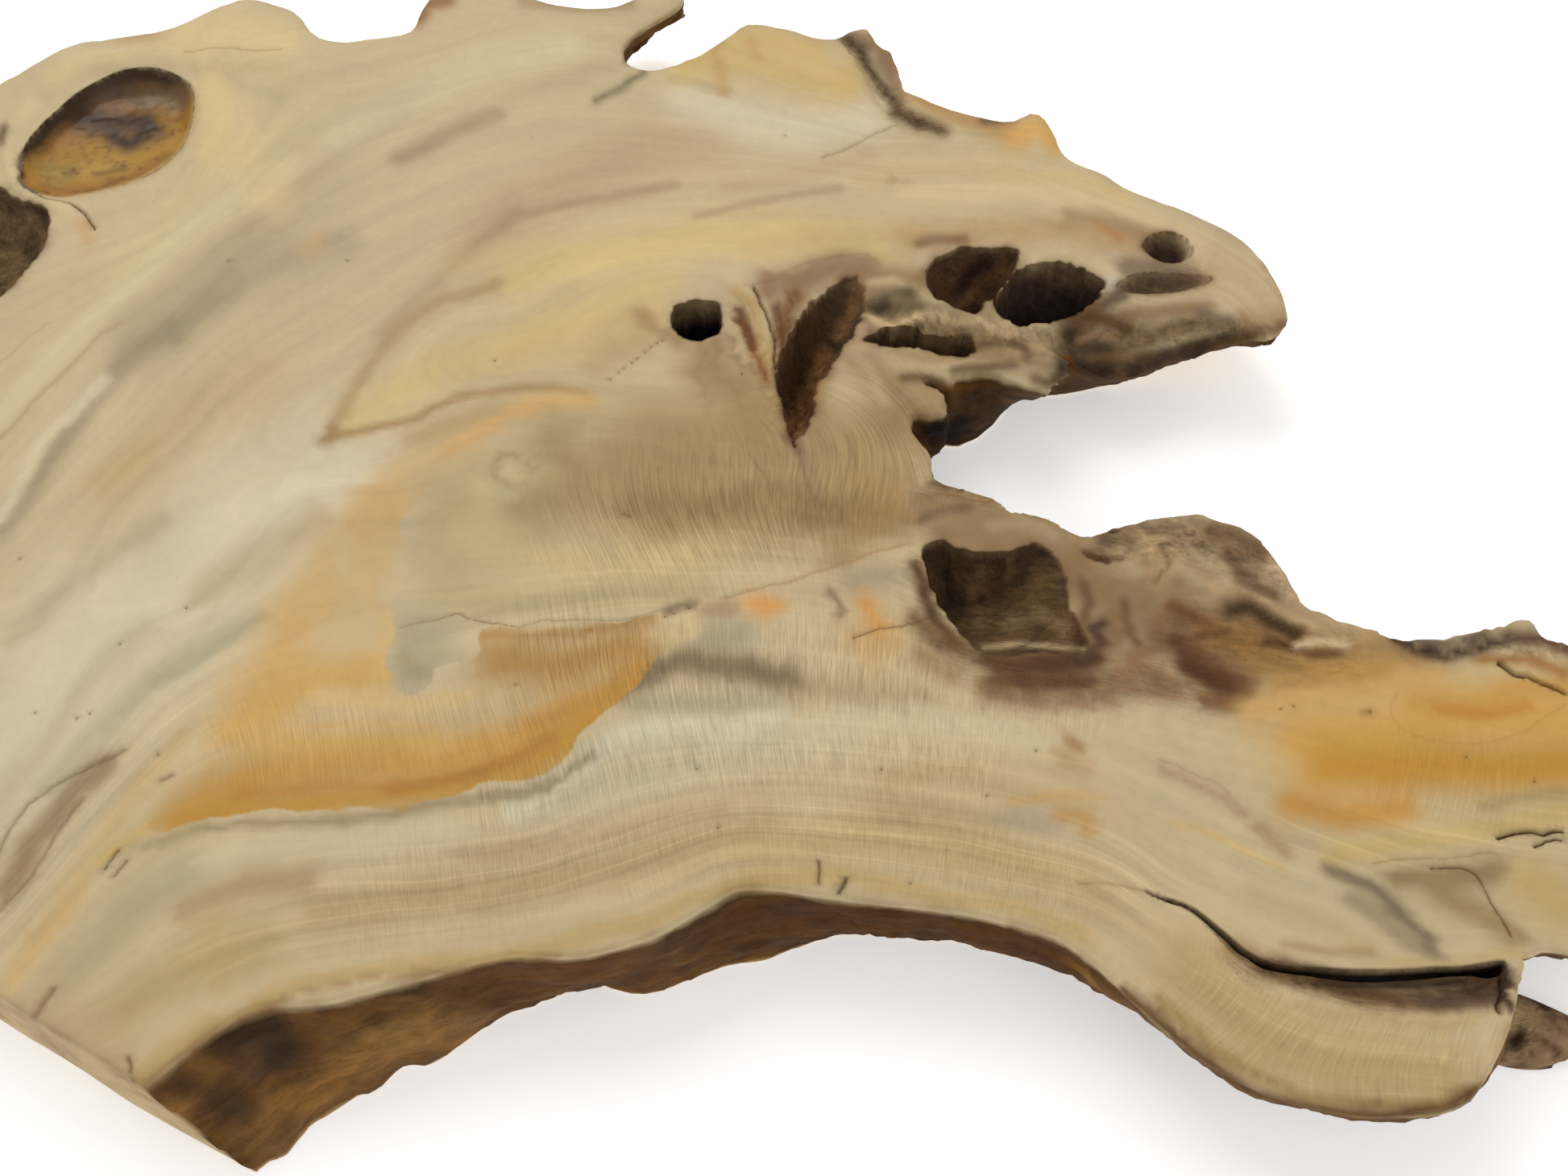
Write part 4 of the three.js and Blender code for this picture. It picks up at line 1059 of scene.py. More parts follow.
HORN_TONES_AND_SHADE = [
    ("#d8c49e", 0.85, 15, [(1130, 240), (1290, 232), (1390, 258), (1490, 310)]),
    ("#d4bc8a", 0.6, 9, [(1240, 222), (1330, 222), (1400, 246)]),
    ("#ccb284", 0.7, 14, [(930, 312), (1040, 292), (1140, 290)]),
    ("#bc9e76", 0.8, 18, [(1130, 296), (1230, 284), (1320, 284), (1400, 300)]),
    ("#846644", 0.75, 8, [(1140, 302), (1160, 296), (1200, 296)]),
    ("#a08260", 0.65, 12, [(1330, 268), (1370, 272), (1430, 296)]),
    ("#b28056", 0.6, 7, [(1366, 280), (1386, 294)]),
    # the sunk ground round the trough
    ("#987e60", 0.9, 20, [(952, 356), (1000, 344), (1050, 332), (1080, 340)]),
    ("#bea070", 0.8, 9, [(912, 362), (936, 380), (944, 420), (952, 460)]),
    ("#704828", 0.9, 8, [(918, 388), (928, 412), (934, 432)]),
    ("#966236", 0.7, 6, [(934, 436), (944, 462), (950, 474)]),
    ("#684c32", 0.9, 9, [(964, 380), (974, 420), (966, 460), (974, 500), (984, 540)]),
    ("#805c36", 0.9, 13, [(988, 366), (978, 396), (972, 420)]),
    ("#785836", 0.9, 16, [(1056, 356), (1050, 388), (1036, 412), (1016, 440)]),
    ("#926c40", 0.8, 10, [(1020, 450), (1010, 480), (1004, 500)]),
    ("#b29260", 0.6, 5, [(1024, 470), (1018, 500)]),
    ("#624a38", 0.8, 7, [(980, 500), (986, 532), (992, 556)]),
    ("#967c5c", 0.6, 12, [(996, 560), (1010, 600)]),
    ("#9c8460", 0.9, 26, [(1066, 440), (1100, 470), (1130, 500), (1100, 520)]),
    ("#baa482", 0.7, 9, [(1060, 430), (1084, 460), (1100, 500)]),
    # torn ledge between the holes and the bay
    ("#968262", 0.9, 30, [(1090, 380), (1150, 400), (1220, 430), (1290, 444)]),
    ("#967c58", 0.9, 15, [(1080, 346), (1110, 344), (1140, 350)]),
    ("#c8b28c", 0.8, 6, [(1086, 352), (1112, 346), (1136, 356)]),
    ("#544634", 0.95, 13, [(1086, 384), (1104, 372), (1130, 366), (1144, 378)]),
    ("#3c3226", 0.8, 5, [(1094, 382), (1106, 378)]),
    ("#968466", 0.8, 8, [(1116, 368), (1136, 372)]),
    ("#ceb892", 0.9, 6, [(1080, 392), (1096, 402), (1112, 402), (1140, 388), (1180, 392)]),
    ("#c4b08e", 0.95, 11, [(1150, 366), (1176, 374), (1196, 386), (1216, 384), (1236, 394)]),
    ("#6e5434", 0.85, 9, [(1070, 412), (1096, 422), (1118, 426)]),
    ("#bca480", 0.9, 9, [(1050, 416), (1066, 408), (1072, 424)]),
    ("#b29a76", 0.9, 7, [(1110, 436), (1160, 446), (1200, 444), (1250, 436), (1300, 428)]),
    ("#ac9676", 0.9, 9, [(1150, 392), (1190, 388), (1230, 400), (1250, 416)]),
    ("#746046", 0.8, 5, [(1150, 424), (1200, 432), (1240, 424)]),
    ("#bca682", 0.8, 7, [(1226, 404), (1260, 412), (1290, 420), (1300, 440)]),
    ("#745e44", 0.8, 6, [(1180, 460), (1220, 458), (1260, 452)]),
    ("#705c44", 0.8, 6, [(1256, 424), (1270, 430), (1278, 442)]),
    ("#ccb892", 0.8, 5, [(1300, 404), (1318, 410), (1328, 420), (1318, 430)]),
    ("#a88e6a", 0.9, 11, [(1140, 480), (1160, 488), (1170, 500), (1150, 510)]),
    ("#705a3e", 0.85, 8, [(1126, 468), (1146, 466), (1164, 474)]),
    ("#b09e7e", 0.9, 8, [(1156, 382), (1190, 386), (1222, 394)]),
    # nose of the horn: soft dents, and its brown fibrous flank, with painted shade in the
    # near-black strokes low on the flank, where it rolls under
    ("#cec4b6", 0.9, 8, [(1378, 350), (1388, 362)]),
    ("#c4b498", 0.7, 9, [(1386, 320), (1396, 334)]),
    ("#887460", 0.85, 14, [(1400, 330), (1440, 332), (1480, 340)]),
    ("#584638", 0.85, 13, [(1404, 352), (1440, 350), (1486, 346)]),
    ("#584230", 0.85, 12, [(1340, 396), (1376, 376), (1396, 364)]),
    ("#967c5c", 0.85, 12, [(1400, 392), (1450, 386), (1500, 382)]),
    ("#463322", 0.98, 28, [(1332, 416), (1350, 436), (1376, 442)]),
    ("#60462c", 0.97, 16, [(1344, 396), (1376, 402), (1404, 410)]),
    ("#36281f", 0.98, 15, [(1320, 456), (1350, 460), (1400, 464), (1440, 452)]),
    ("#7a644a", 0.9, 8, [(1392, 432), (1410, 430), (1430, 424)]),
    ("#4a3629", 0.97, 13, [(1420, 454), (1460, 438), (1510, 426), (1550, 418)]),
    ("#7e6a52", 0.9, 8, [(1396, 430), (1440, 418), (1480, 408), (1520, 402)]),
    ("#9c886c", 0.9, 9, [(1430, 404), (1460, 402), (1500, 402), (1540, 400)]),
    ("#8c7254", 0.8, 5, [(1340, 424), (1372, 420), (1404, 424)]),
    ("#785c3c", 0.7, 5, [(1350, 446), (1390, 444), (1430, 440)]),
    ("#927c5e", 0.9, 7, [(1396, 427), (1424, 416), (1464, 408), (1504, 402), (1540, 402)]),
    ("#3e2d22", 0.95, 8, [(1340, 452), (1390, 458), (1440, 446), (1470, 434), (1510, 426),
     (1548, 418)]),
    ("#6e583e", 0.9, 8, [(1284, 470), (1300, 474), (1314, 468)]),
    ("#827262", 0.75, 8, [(1494, 390), (1526, 398)]),
    ("#c4ac8a", 0.7, 30, [(1500, 330), (1560, 366)]),
    ("#b09470", 0.8, 12, [(1546, 396), (1586, 392)]),
    ("#80664a", 0.85, 8, [(1540, 414), (1570, 410), (1592, 404)]),
]
WEEP_TONES = [
    ("#927654", 0.9, 46, [(1200, 650), (1310, 700), (1400, 760), (1500, 770), (1600, 780)]),
    ("#9e7c4e", 0.85, 34, [(1540, 806), (1640, 812), (1740, 816)]),
    # tan ridges round the pit
    ("#967e5a", 0.9, 14, [(1140, 622), (1180, 614), (1230, 622)]),
    ("#70583c", 0.8, 7, [(1158, 598), (1174, 602)]),
    ("#705a40", 0.8, 8, [(1140, 640), (1160, 634), (1200, 630)]),
    ("#9c8462", 0.9, 15, [(1160, 652), (1230, 644), (1290, 646), (1326, 680)]),
    ("#b29c7c", 0.7, 8, [(1230, 652), (1280, 648), (1306, 664)]),
    ("#967c58", 0.9, 12, [(1336, 680), (1360, 720), (1400, 730), (1460, 726)]),
    ("#a68c68", 0.9, 12, [(1410, 690), (1430, 706), (1440, 740), (1470, 742)]),
    ("#745638", 0.9, 9, [(1338, 720), (1344, 750), (1346, 786)]),
    ("#947854", 0.85, 9, [(1368, 736), (1374, 764), (1392, 790)]),
    ("#624630", 0.9, 9, [(1362, 780), (1370, 800), (1362, 822)]),
    ("#785a3c", 0.85, 8, [(1390, 748), (1402, 776), (1416, 800)]),
    ("#8a6a4a", 0.85, 15, [(1410, 820), (1440, 806), (1444, 770)]),
    # brown weeping stain below the pit and to its right
    ("#7a5c3c", 0.8, 32, [(1250, 836), (1330, 816), (1370, 806)]),
    ("#765436", 0.9, 28, [(1484, 808), (1500, 830), (1530, 846)]),
    ("#60422c", 0.95, 10, [(1134, 700), (1150, 734), (1166, 772), (1190, 800)]),
    ("#9c825c", 0.75, 18, [(1146, 812), (1186, 834)]),
    ("#765c3c", 0.85, 14, [(1140, 770), (1170, 796), (1200, 806)]),
    ("#583c28", 0.97, 19, [(1226, 812), (1262, 820), (1300, 824), (1350, 818)]),
    ("#684a32", 0.95, 18, [(1240, 846), (1300, 850), (1350, 850)]),
    ("#8a6c4e", 0.75, 14, [(1220, 858), (1300, 874), (1380, 866)]),
    ("#543c30", 0.9, 9, [(1344, 824), (1362, 804), (1366, 776)]),
    ("#967656", 0.85, 16, [(1390, 838), (1420, 834), (1450, 846)]),
    ("#8a6c4e", 0.8, 16, [(1376, 852), (1430, 856), (1470, 858)]),
    ("#b09676", 0.6, 4, [(1216, 858), (1220, 880)]),
    ("#ac9272", 0.6, 4, [(1262, 862), (1266, 884)]),
    ("#ac9272", 0.6, 4, [(1306, 866), (1310, 888)]),
    ("#a88e6e", 0.5, 5, [(1350, 862), (1354, 880)]),
    ("#6c492d", 0.95, 18, [(1466, 800), (1482, 826), (1510, 838), (1540, 856)]),
    ("#5c3c26", 0.85, 12, [(1474, 826), (1500, 842), (1530, 852)]),
    ("#785434", 0.85, 13, [(1500, 870), (1540, 872)]),
    ("#7c5632", 0.9, 10, [(1452, 752), (1476, 764), (1500, 778)]),
    ("#967246", 0.9, 18, [(1510, 788), (1550, 802)]),
    ("#9a7848", 0.85, 16, [(1560, 826), (1620, 830), (1690, 830)]),
    ("#684c2c", 0.8, 6, [(1490, 790), (1520, 782)]),
    # the lump beyond the pit
    ("#9a8366", 0.97, 28, [(1370, 668), (1440, 660), (1500, 668), (1560, 694)]),
    ("#72624c", 0.8, 8, [(1364, 672), (1392, 668), (1410, 676)]),
    ("#baa078", 0.8, 14, [(1420, 676), (1450, 692), (1440, 712)]),
    ("#70583e", 0.85, 15, [(1504, 660), (1536, 662), (1560, 682)]),
    ("#6e563e", 0.85, 12, [(1520, 690), (1540, 718), (1576, 738)]),
    ("#bea686", 0.9, 10, [(1574, 710), (1596, 724), (1612, 744)]),
    ("#a68c6a", 0.6, 9, [(1470, 700), (1500, 716)]),
    ("#6e5438", 0.85, 4, [(1352, 684), (1366, 692), (1388, 694)]),
    ("#785e44", 0.6, 4, [(1438, 684), (1446, 706), (1434, 724)]),
    ("#bea480", 0.95, 8, [(1500, 728), (1540, 738), (1580, 754), (1630, 774)]),
    ("#584432", 0.97, 11, [(1524, 758), (1546, 752), (1572, 768), (1612, 784)]),
    ("#6a4c2e", 0.9, 9, [(1570, 794), (1600, 800), (1630, 812), (1664, 812)]),
    ("#ceb896", 0.9, 6, [(1612, 800), (1640, 794), (1676, 802)]),
    ("#be9e72", 0.8, 7, [(1700, 794), (1720, 788), (1736, 796)]),
]
ARM_TONES = [
    ("#d0a65c", 0.92, 52, [(1620, 920), (1720, 910), (1820, 890), (1946, 890)]),
    ("#cea86c", 0.85, 26, [(1560, 884), (1620, 860), (1720, 846), (1780, 846)]),
    ("#b48e54", 0.8, 12, [(1580, 850), (1640, 838), (1720, 832)]),
    ("#c4943e", 0.92, 34, [(1650, 956), (1740, 952), (1850, 956), (1946, 950)]),
    ("#c89648", 0.85, 22, [(1600, 996), (1670, 1012), (1740, 1000)]),
    ("#c89c54", 0.8, 18, [(1760, 876), (1830, 884), (1900, 852), (1946, 850)]),
    ("#bc843e", 0.6, 8, [(1790, 884), (1850, 888), (1900, 876)]),
    ("#ccb47a", 0.85, 16, [(1660, 1064), (1740, 1044), (1840, 1030), (1946, 1006)]),
    ("#a89870", 0.6, 8, [(1840, 1000), (1900, 984), (1946, 982)]),
    ("#a0865a", 0.6, 10, [(1560, 1026), (1600, 1056)]),
    ("#94825c", 0.9, 18, [(1740, 1092), (1800, 1090), (1860, 1078)]),
    ("#9e8a62", 0.85, 20, [(1790, 1110), (1840, 1130), (1876, 1160)]),
    ("#c4aa76", 0.9, 28, [(1900, 1090), (1946, 1130)]),
    ("#7c6e5a", 0.85, 9, [(1650, 1078), (1700, 1100), (1746, 1138), (1790, 1178)]),
    ("#96866a", 0.7, 14, [(1680, 1114), (1740, 1156), (1780, 1184)]),
    ("#c0ae88", 0.7, 18, [(1560, 1110), (1640, 1144), (1700, 1180)]),
    ("#c4ae82", 0.8, 7, [(1720, 1194), (1800, 1194), (1880, 1178)]),
    ("#a08a64", 0.6, 7, [(1590, 1176), (1640, 1184), (1700, 1182)]),
    ("#946e3c", 0.5, 6, [(1696, 884), (1704, 884)]),
    ("#544238", 0.98, 10, [(1736, 792), (1760, 808), (1796, 814), (1836, 802), (1866, 786)]),
    ("#726254", 0.9, 6, [(1754, 788), (1790, 800), (1826, 790), (1846, 780)]),
    ("#604632", 0.95, 10, [(1876, 784), (1910, 790), (1946, 806)]),
    ("#a06e3a", 0.8, 8, [(1840, 816), (1900, 812), (1946, 832)]),
]
LIP_TONES_AND_SHADOW = [
    ("#baa278", 0.85, 40, [(1470, 1200), (1560, 1290), (1680, 1330), (1800, 1330)]),
    ("#c4ae84", 0.6, 14, [(1500, 1190), (1560, 1250), (1640, 1286), (1740, 1296)]),
    ("#967c5a", 0.8, 16, [(1530, 1184), (1560, 1202), (1600, 1212), (1700, 1244),
     (1850, 1240)]),
    ("#6c543c", 0.95, 13, [(1580, 1208), (1640, 1222), (1740, 1240), (1800, 1238),
     (1866, 1232)]),
    # painted shadow: the near-black stroke along the long crack, under its upper edge
    ("#403024", 0.97, 9, [(1586, 1208), (1620, 1212), (1660, 1216), (1740, 1220), (1800, 1216),
     (1866, 1206)]),
    ("#705c4e", 0.85, 9, [(1760, 1240), (1800, 1242), (1850, 1236)]),
    ("#5c4430", 0.8, 12, [(1836, 1222), (1868, 1224)]),
    ("#beaa80", 0.8, 8, [(1600, 1250), (1650, 1262), (1750, 1272), (1830, 1268)]),
    ("#ceb88a", 0.7, 4, [(1800, 1284), (1790, 1320), (1782, 1364)]),
    ("#c6b084", 0.85, 8, [(1884, 1258), (1874, 1300)]),
    ("#9e8252", 0.8, 9, [(1440, 1240), (1520, 1312), (1620, 1360), (1750, 1374),
     (1850, 1350)]),
    ("#644a28", 0.95, 8, [(1400, 1232), (1440, 1268), (1500, 1318), (1560, 1356), (1620, 1374),
     (1700, 1384), (1780, 1378), (1846, 1352)]),
    ("#ceb686", 0.9, 7, [(1888, 1186), (1896, 1220), (1892, 1256)]),
    ("#4e3628", 0.95, 7, [(1868, 1206), (1872, 1230), (1866, 1252)]),
    ("#785e40", 0.6, 3, [(1698, 1352), (1700, 1374)]),
]
KNOT_TONES = [
    ("#ac863c", 0.97, 40, [(60, 200), (130, 200), (190, 186), (230, 150)]),
    ("#986c32", 0.8, 8, [(50, 226), (110, 232), (160, 218), (205, 190)]),
    ("#c09a58", 0.6, 11, [(100, 200), (150, 200)]),
    ("#968048", 0.85, 14, [(58, 196), (66, 210), (76, 202)]),
    ("#b09254", 0.8, 4, [(64, 203), (70, 208)]),
    ("#96683c", 0.8, 10, [(52, 166), (66, 152), (84, 144)]),
    ("#3e2e23", 0.98, 19, [(84, 128), (104, 132), (130, 138), (176, 140), (186, 146)]),
    ("#685644", 0.97, 13, [(110, 112), (150, 104), (200, 106), (224, 112)]),
    ("#806e56", 0.9, 10, [(172, 112), (196, 108), (212, 118)]),
    ("#805c42", 0.8, 7, [(222, 112), (226, 124)]),
    ("#3c2d24", 0.98, 12, [(136, 158), (156, 170), (180, 156)]),
    ("#605042", 0.6, 5, [(108, 150), (124, 154), (130, 150)]),
    ("#966824", 0.85, 8, [(196, 138), (226, 134), (228, 150)]),
    ("#84603a", 0.8, 5, [(190, 160), (210, 158)]),
    ("#745834", 0.6, 5, [(118, 208), (150, 206)]),
]
OCHRE_TONES = [
    ("#ceaa6e", 0.9, 40, [(330, 860), (360, 780), (420, 700), (480, 640)]),
    ("#cea862", 0.9, 36, [(300, 910), (380, 850), (470, 830)]),
    ("#d6b47a", 0.6, 10, [(470, 700), (462, 760), (470, 830)]),
    ("#c8ba94", 0.8, 14, [(430, 680), (424, 706)]),
    ("#c4984c", 0.95, 38, [(235, 1010), (330, 965), (440, 945), (560, 938), (660, 920),
     (716, 886)]),
    ("#bc9038", 0.9, 24, [(214, 1030), (300, 1004), (440, 994), (560, 976), (650, 958),
     (716, 920), (760, 868), (790, 840)]),
    ("#ceaa60", 0.7, 16, [(330, 930), (440, 928), (540, 918)]),
    ("#a8782c", 0.7, 10, [(480, 984), (520, 970), (600, 958), (680, 920)]),
    ("#b8803a", 0.5, 7, [(300, 985), (400, 975), (480, 976), (600, 954), (690, 930)]),
    ("#d2ac70", 0.5, 8, [(330, 916), (440, 900), (540, 900)]),
    ("#ccb282", 0.7, 30, [(400, 720), (450, 760), (470, 660)]),
    ("#d6ba86", 0.85, 13, [(400, 868), (450, 876), (520, 878), (590, 864)]),
    ("#b48c4e", 0.95, 36, [(624, 820), (700, 824), (776, 806)]),
    ("#a87c3e", 0.7, 8, [(604, 788), (660, 786), (730, 780), (800, 768)]),
    ("#b88a42", 0.7, 18, [(660, 900), (740, 870)]),
]
OCHRE_EDGE = [  # the outline of the ochre stain, which is sharp
    (190, 1036), (240, 1018), (290, 1009), (345, 1002), (380, 1007), (400, 1006), (440, 1003),
    (482, 1006), (500, 1012), (520, 998), (560, 988), (600, 976), (650, 970), (682, 961),
    (704, 941), (722, 915), (742, 892), (766, 872), (790, 850), (816, 814), (846, 788), (853, 762),
    (830, 756), (765, 768), (700, 768), (640, 778), (598, 778), (594, 804), (584, 818), (560, 822),
    (542, 830), (532, 850), (508, 860), (490, 846), (476, 812), (490, 782), (482, 748), (502, 716),
    (512, 684), (500, 650), (530, 610), (600, 540), (560, 470),
    (380, 560), (300, 700), (220, 850), (170, 980),
]
GREY_PATCH = [
    ("#aaa082", 0.85, 34, [(510, 790), (540, 800), (506, 830)]),
    ("#9e9478", 0.6, 10, [(498, 812), (512, 834), (530, 836)]),
]
RAYED = [  # where the fine rays across the rings show: strength, half width, line
    (0.55, 60, [(320, 930), (480, 900), (640, 880), (760, 830)]),
    (1.0, 90, [(760, 660), (900, 640), (1040, 600), (1100, 540)]),
    (1.0, 70, [(700, 800), (860, 850), (1000, 830), (1120, 840)]),
    (0.75, 60, [(620, 990), (800, 940), (1000, 940), (1200, 950)]),
    (0.5, 70, [(480, 1110), (800, 1040), (1100, 1040), (1300, 1090)]),
    (0.45, 70, [(1500, 1240), (1650, 1310), (1840, 1310)]),
    (0.6, 40, [(1180, 860), (1350, 880)]),
    (0.4, 60, [(1750, 960), (1850, 980)]),
]
RINGED = [  # where the growth rings show
    (0.9, 60, [(400, 1120), (600, 1090), (900, 1030), (1150, 1040), (1400, 1110)]),
    (0.6, 40, [(250, 1180), (330, 1150)]),
    (0.7, 40, [(1560, 1050), (1750, 1040), (1946, 1020)]),
    (0.45, 60, [(560, 760), (760, 720), (1000, 700)]),
    (0.4, 60, [(700, 960), (1000, 940), (1300, 980)]),
    (0.5, 60, [(0, 1130), (120, 980), (250, 860)]),
    (0.12, 200, [(0, 600), (300, 350), (700, 150)]),
    (0.35, 60, [(1480, 1230), (1600, 1310), (1800, 1330)]),
]
ROUGHENED = [  # where the sanding left rough old bark wood in the face
    (1.0, 34, [(1385, 668), (1450, 665), (1520, 680), (1580, 715)]),
    (0.8, 10, [(1050, 50), (1080, 90), (1110, 135), (1165, 160)]),
    (0.8, 12, [(1740, 795), (1790, 812), (1850, 796), (1946, 806)]),
    (0.9, 20, [(1060, 370), (1100, 390), (1160, 400), (1250, 415), (1320, 420)]),
    (0.9, 20, [(1330, 420), (1400, 420), (1500, 410), (1560, 416)]),
    (0.8, 16, [(1320, 460), (1440, 450), (1560, 424)]),
    (0.9, 14, [(1050, 360), (1040, 410), (1004, 460), (984, 520)]),
    (0.7, 12, [(988, 366), (970, 410), (966, 460)]),
    (0.5, 20, [(920, 390), (940, 440), (970, 500)]),
    (0.6, 40, [(1480, 780), (1560, 796), (1660, 806)]),
    (0.5, 40, [(1150, 700), (1180, 790), (1260, 840), (1380, 840), (1500, 850)]),
    (0.6, 16, [(1150, 606), (1210, 612), (1290, 636)]),
    (0.7, 18, [(1540, 1206), (1700, 1244), (1860, 1236)]),
    (0.5, 24, [(1360, 390), (1440, 345), (1480, 340)]),
]


def linear(colour):
    """Display colour, as #rrggbb, to scene-linear: its share of 255 to the power 2.2, by UNLIT."""
    shares = np.array([int(colour[at : at + 2], 16) for at in (1, 3, 5)]) / 255
    return shares**2.2 * UNLIT


def blend(first, second, share):
    """Goes from the first colour to the second as the share, kept from 0 to 1, grows."""
    share = np.clip(share, 0, 1).reshape(-1, 1)
    return first * (1 - share) + second * share


def painted(colour, seen, strokes):
    """Lays strokes over a colour in turn, each blended in by its cover times its strength."""
    for tone, strength, half, line in strokes:
        colour = blend(colour, linear(tone), strength * brushed(seen, line, half))
    return colour


def marked(seen, strokes):
    """The strongest cover of any of the strokes at each place."""
    cover = np.zeros(len(seen))
    for strength, half, line in strokes:
        cover = np.maximum(cover, strength * brushed(seen, line, half))
    return cover


FIBRE_CELL = (16, 2.6)  # mm along and across the grain
RAY_CELL = (1.7, 14)
CLOUD_CELL = 13
PUSHES = (3.2, 1.3, 9.0)  # by fibres, rays and clouds
NEAR_BY = (700, 1900)  # pushes grow towards the front, as 700 over the rows left to row 1900


def grain_noise(places, cell, seed):
    """Rough noise in cells that lie along the grain, as long and as wide as the cell says."""
    laid = np.stack([grain_run(places) / cell[0], ring_age(places) / cell[1]], 1)
    return rough(laid, 1.0, seed)


def feathered(places, seen, amount):
    """Picture places pushed along the grain by fibre-thin noise, across it by rays, and a little
    every way by clouds, so that stains end in streaks and none has a plain outline."""
    slope = ring_slope(places)
    heading = np.stack([slope[:, 1], -slope[:, 0]], 1)
    heading = heading / np.maximum(np.linalg.norm(heading, axis=1), 1e-6)[:, None]
    fibre = grain_noise(places, FIBRE_CELL, 83)[:, None]
    rays = (grain_noise(places, RAY_CELL, 87) * marked(seen, RAYED))[:, None]
    cloudy = np.stack([rough(places, CLOUD_CELL, seed, 5) for seed in (81, 82)], 1)
    flow = heading * np.array([6.0, -5.0])
    across = np.stack([-heading[:, 1], heading[:, 0]], 1) * np.array([5.0, -4.5])
    scale = np.clip(NEAR_BY[0] / (NEAR_BY[1] - seen[:, 1:2]), 0.3, 1.6)
    pushed = PUSHES[0] * fibre * flow + PUSHES[1] * rays * across + PUSHES[2] * cloudy
    return seen + amount * scale * pushed


SOFT_STAINS = [STEM_STREAKS, HEART_TONES, HATCHED_TONES, FRONT_BANDS]
# the crisp strokes are stains, but for painted shade on the horn's flank and painted shadow along
# the lip's crack
CRISP_STAINS_AND_SHADE = [LEDGE_TONES, HORN_TONES_AND_SHADE, WEEP_TONES, ARM_TONES, LIP_TONES_AND_SHADOW]
CRISP = 0.55  # how much of the feathering the crisp stains get
UNBROKEN = 20.0  # stains are laid over the pits as if none were sunk in the face
solid_seen = seen_at(np.column_stack([face_points, np.maximum(face_z + face_sunk, UNBROKEN)]))
soft_seen = feathered(face_points, solid_seen, 1.0)
crisp_seen = feathered(face_points, solid_seen, CRISP)
face_tone = linear(PALE_WOOD)
for strokes in SOFT_STAINS:
    face_tone = painted(face_tone, soft_seen, strokes)
for strokes in CRISP_STAINS_AND_SHADE:
    face_tone = painted(face_tone, crisp_seen, strokes)


def deepened(tone):
    """A colour drawn away from that of middling wood: its ratio to it to a power above one."""
    return MID_WOOD * (tone / MID_WOOD) ** DEEPENED


MID_WOOD = linear("#b8a37c")
face_tone = deepened(face_tone)

# The colours of the hollows and of the bark side
# Rot has turned the pits' torn walls brown; painted shade darkens them towards their floors, near
# black in the deepest holes and the long crack, and under the bay's shelf. Weather has turned the
# bare bark wood brown, gold and slate. The knot keeps its ochre bowl, with painted shade on its far
# wall, and the sawn end is as pale as the face.
ROT_DARK_AND_SHADE = linear("#3a2b20")
ROT_BROWN = linear("#745c42")
BARK_DARK = linear("#3c2813")
BARK_BROWN = linear("#6c4c22")
BARK_GOLD = linear("#966e3a")
BARK_SLATE = linear("#584230")
SAWN_PALE = linear("#c4ae84")
EDGE_TAN = linear("#886840")
# each hole's colour, with painted shade in the deep ones: the pith hole is near black
HOLE_TONES_AND_SHADE = {
    "trough": "#4a3625", "pith_hole": "#090606", "horn_main_hole": "#463834",
    "horn_near_hole": "#5a402e", "horn_far_eye": "#4e3e32", "horn_near_eye": "#685442",
    "side_slot": "#4c3c2c", "pit_beside_knot": "#745e46", "three_sided_pit": "#624c32",
}
PIT_STAINS_AND_SHADE = [  # inside the three-sided pit, the trough, the horn's holes and the bowl by the knot
    # the darkest strokes, under the far rim of the three-sided pit and in the horn's near hole, are
    # painted shade
    ("#46382e", 0.95, 14, [(1152, 682), (1166, 700), (1176, 726), (1186, 756)]),
    ("#3c2e23", 0.8, 14, [(1190, 684), (1240, 694), (1290, 684)]),
    ("#544230", 0.7, 8, [(1284, 690), (1262, 716), (1240, 732)]),
    ("#7c644a", 0.7, 9, [(1220, 712), (1204, 742), (1216, 776)]),
    ("#806a50", 0.8, 11, [(1250, 774), (1290, 762), (1320, 780)]),
    ("#b09a7a", 0.95, 4, [(1222, 804), (1260, 800), (1300, 802), (1344, 806)]),
    ("#543a2a", 0.9, 8, [(1316, 684), (1332, 720), (1336, 760), (1340, 796)]),
    ("#705032", 0.85, 7, [(1250, 331), (1222, 354), (1197, 376)]),
    ("#5c442e", 0.8, 8, [(1200, 318), (1180, 340), (1168, 358)]),
    ("#281d17", 0.9, 9, [(1222, 326), (1200, 346), (1186, 364)]),
    ("#805c38", 0.85, 9, [(1000, 366), (986, 392), (974, 416), (966, 440)]),
    ("#7a5a38", 0.85, 8, [(1064, 360), (1056, 392), (1040, 418)]),
    ("#8c6840", 0.85, 10, [(1024, 440), (1008, 474), (996, 508)]),
    ("#705c42", 0.7, 12, [(10, 350), (34, 320), (44, 290)]),
]
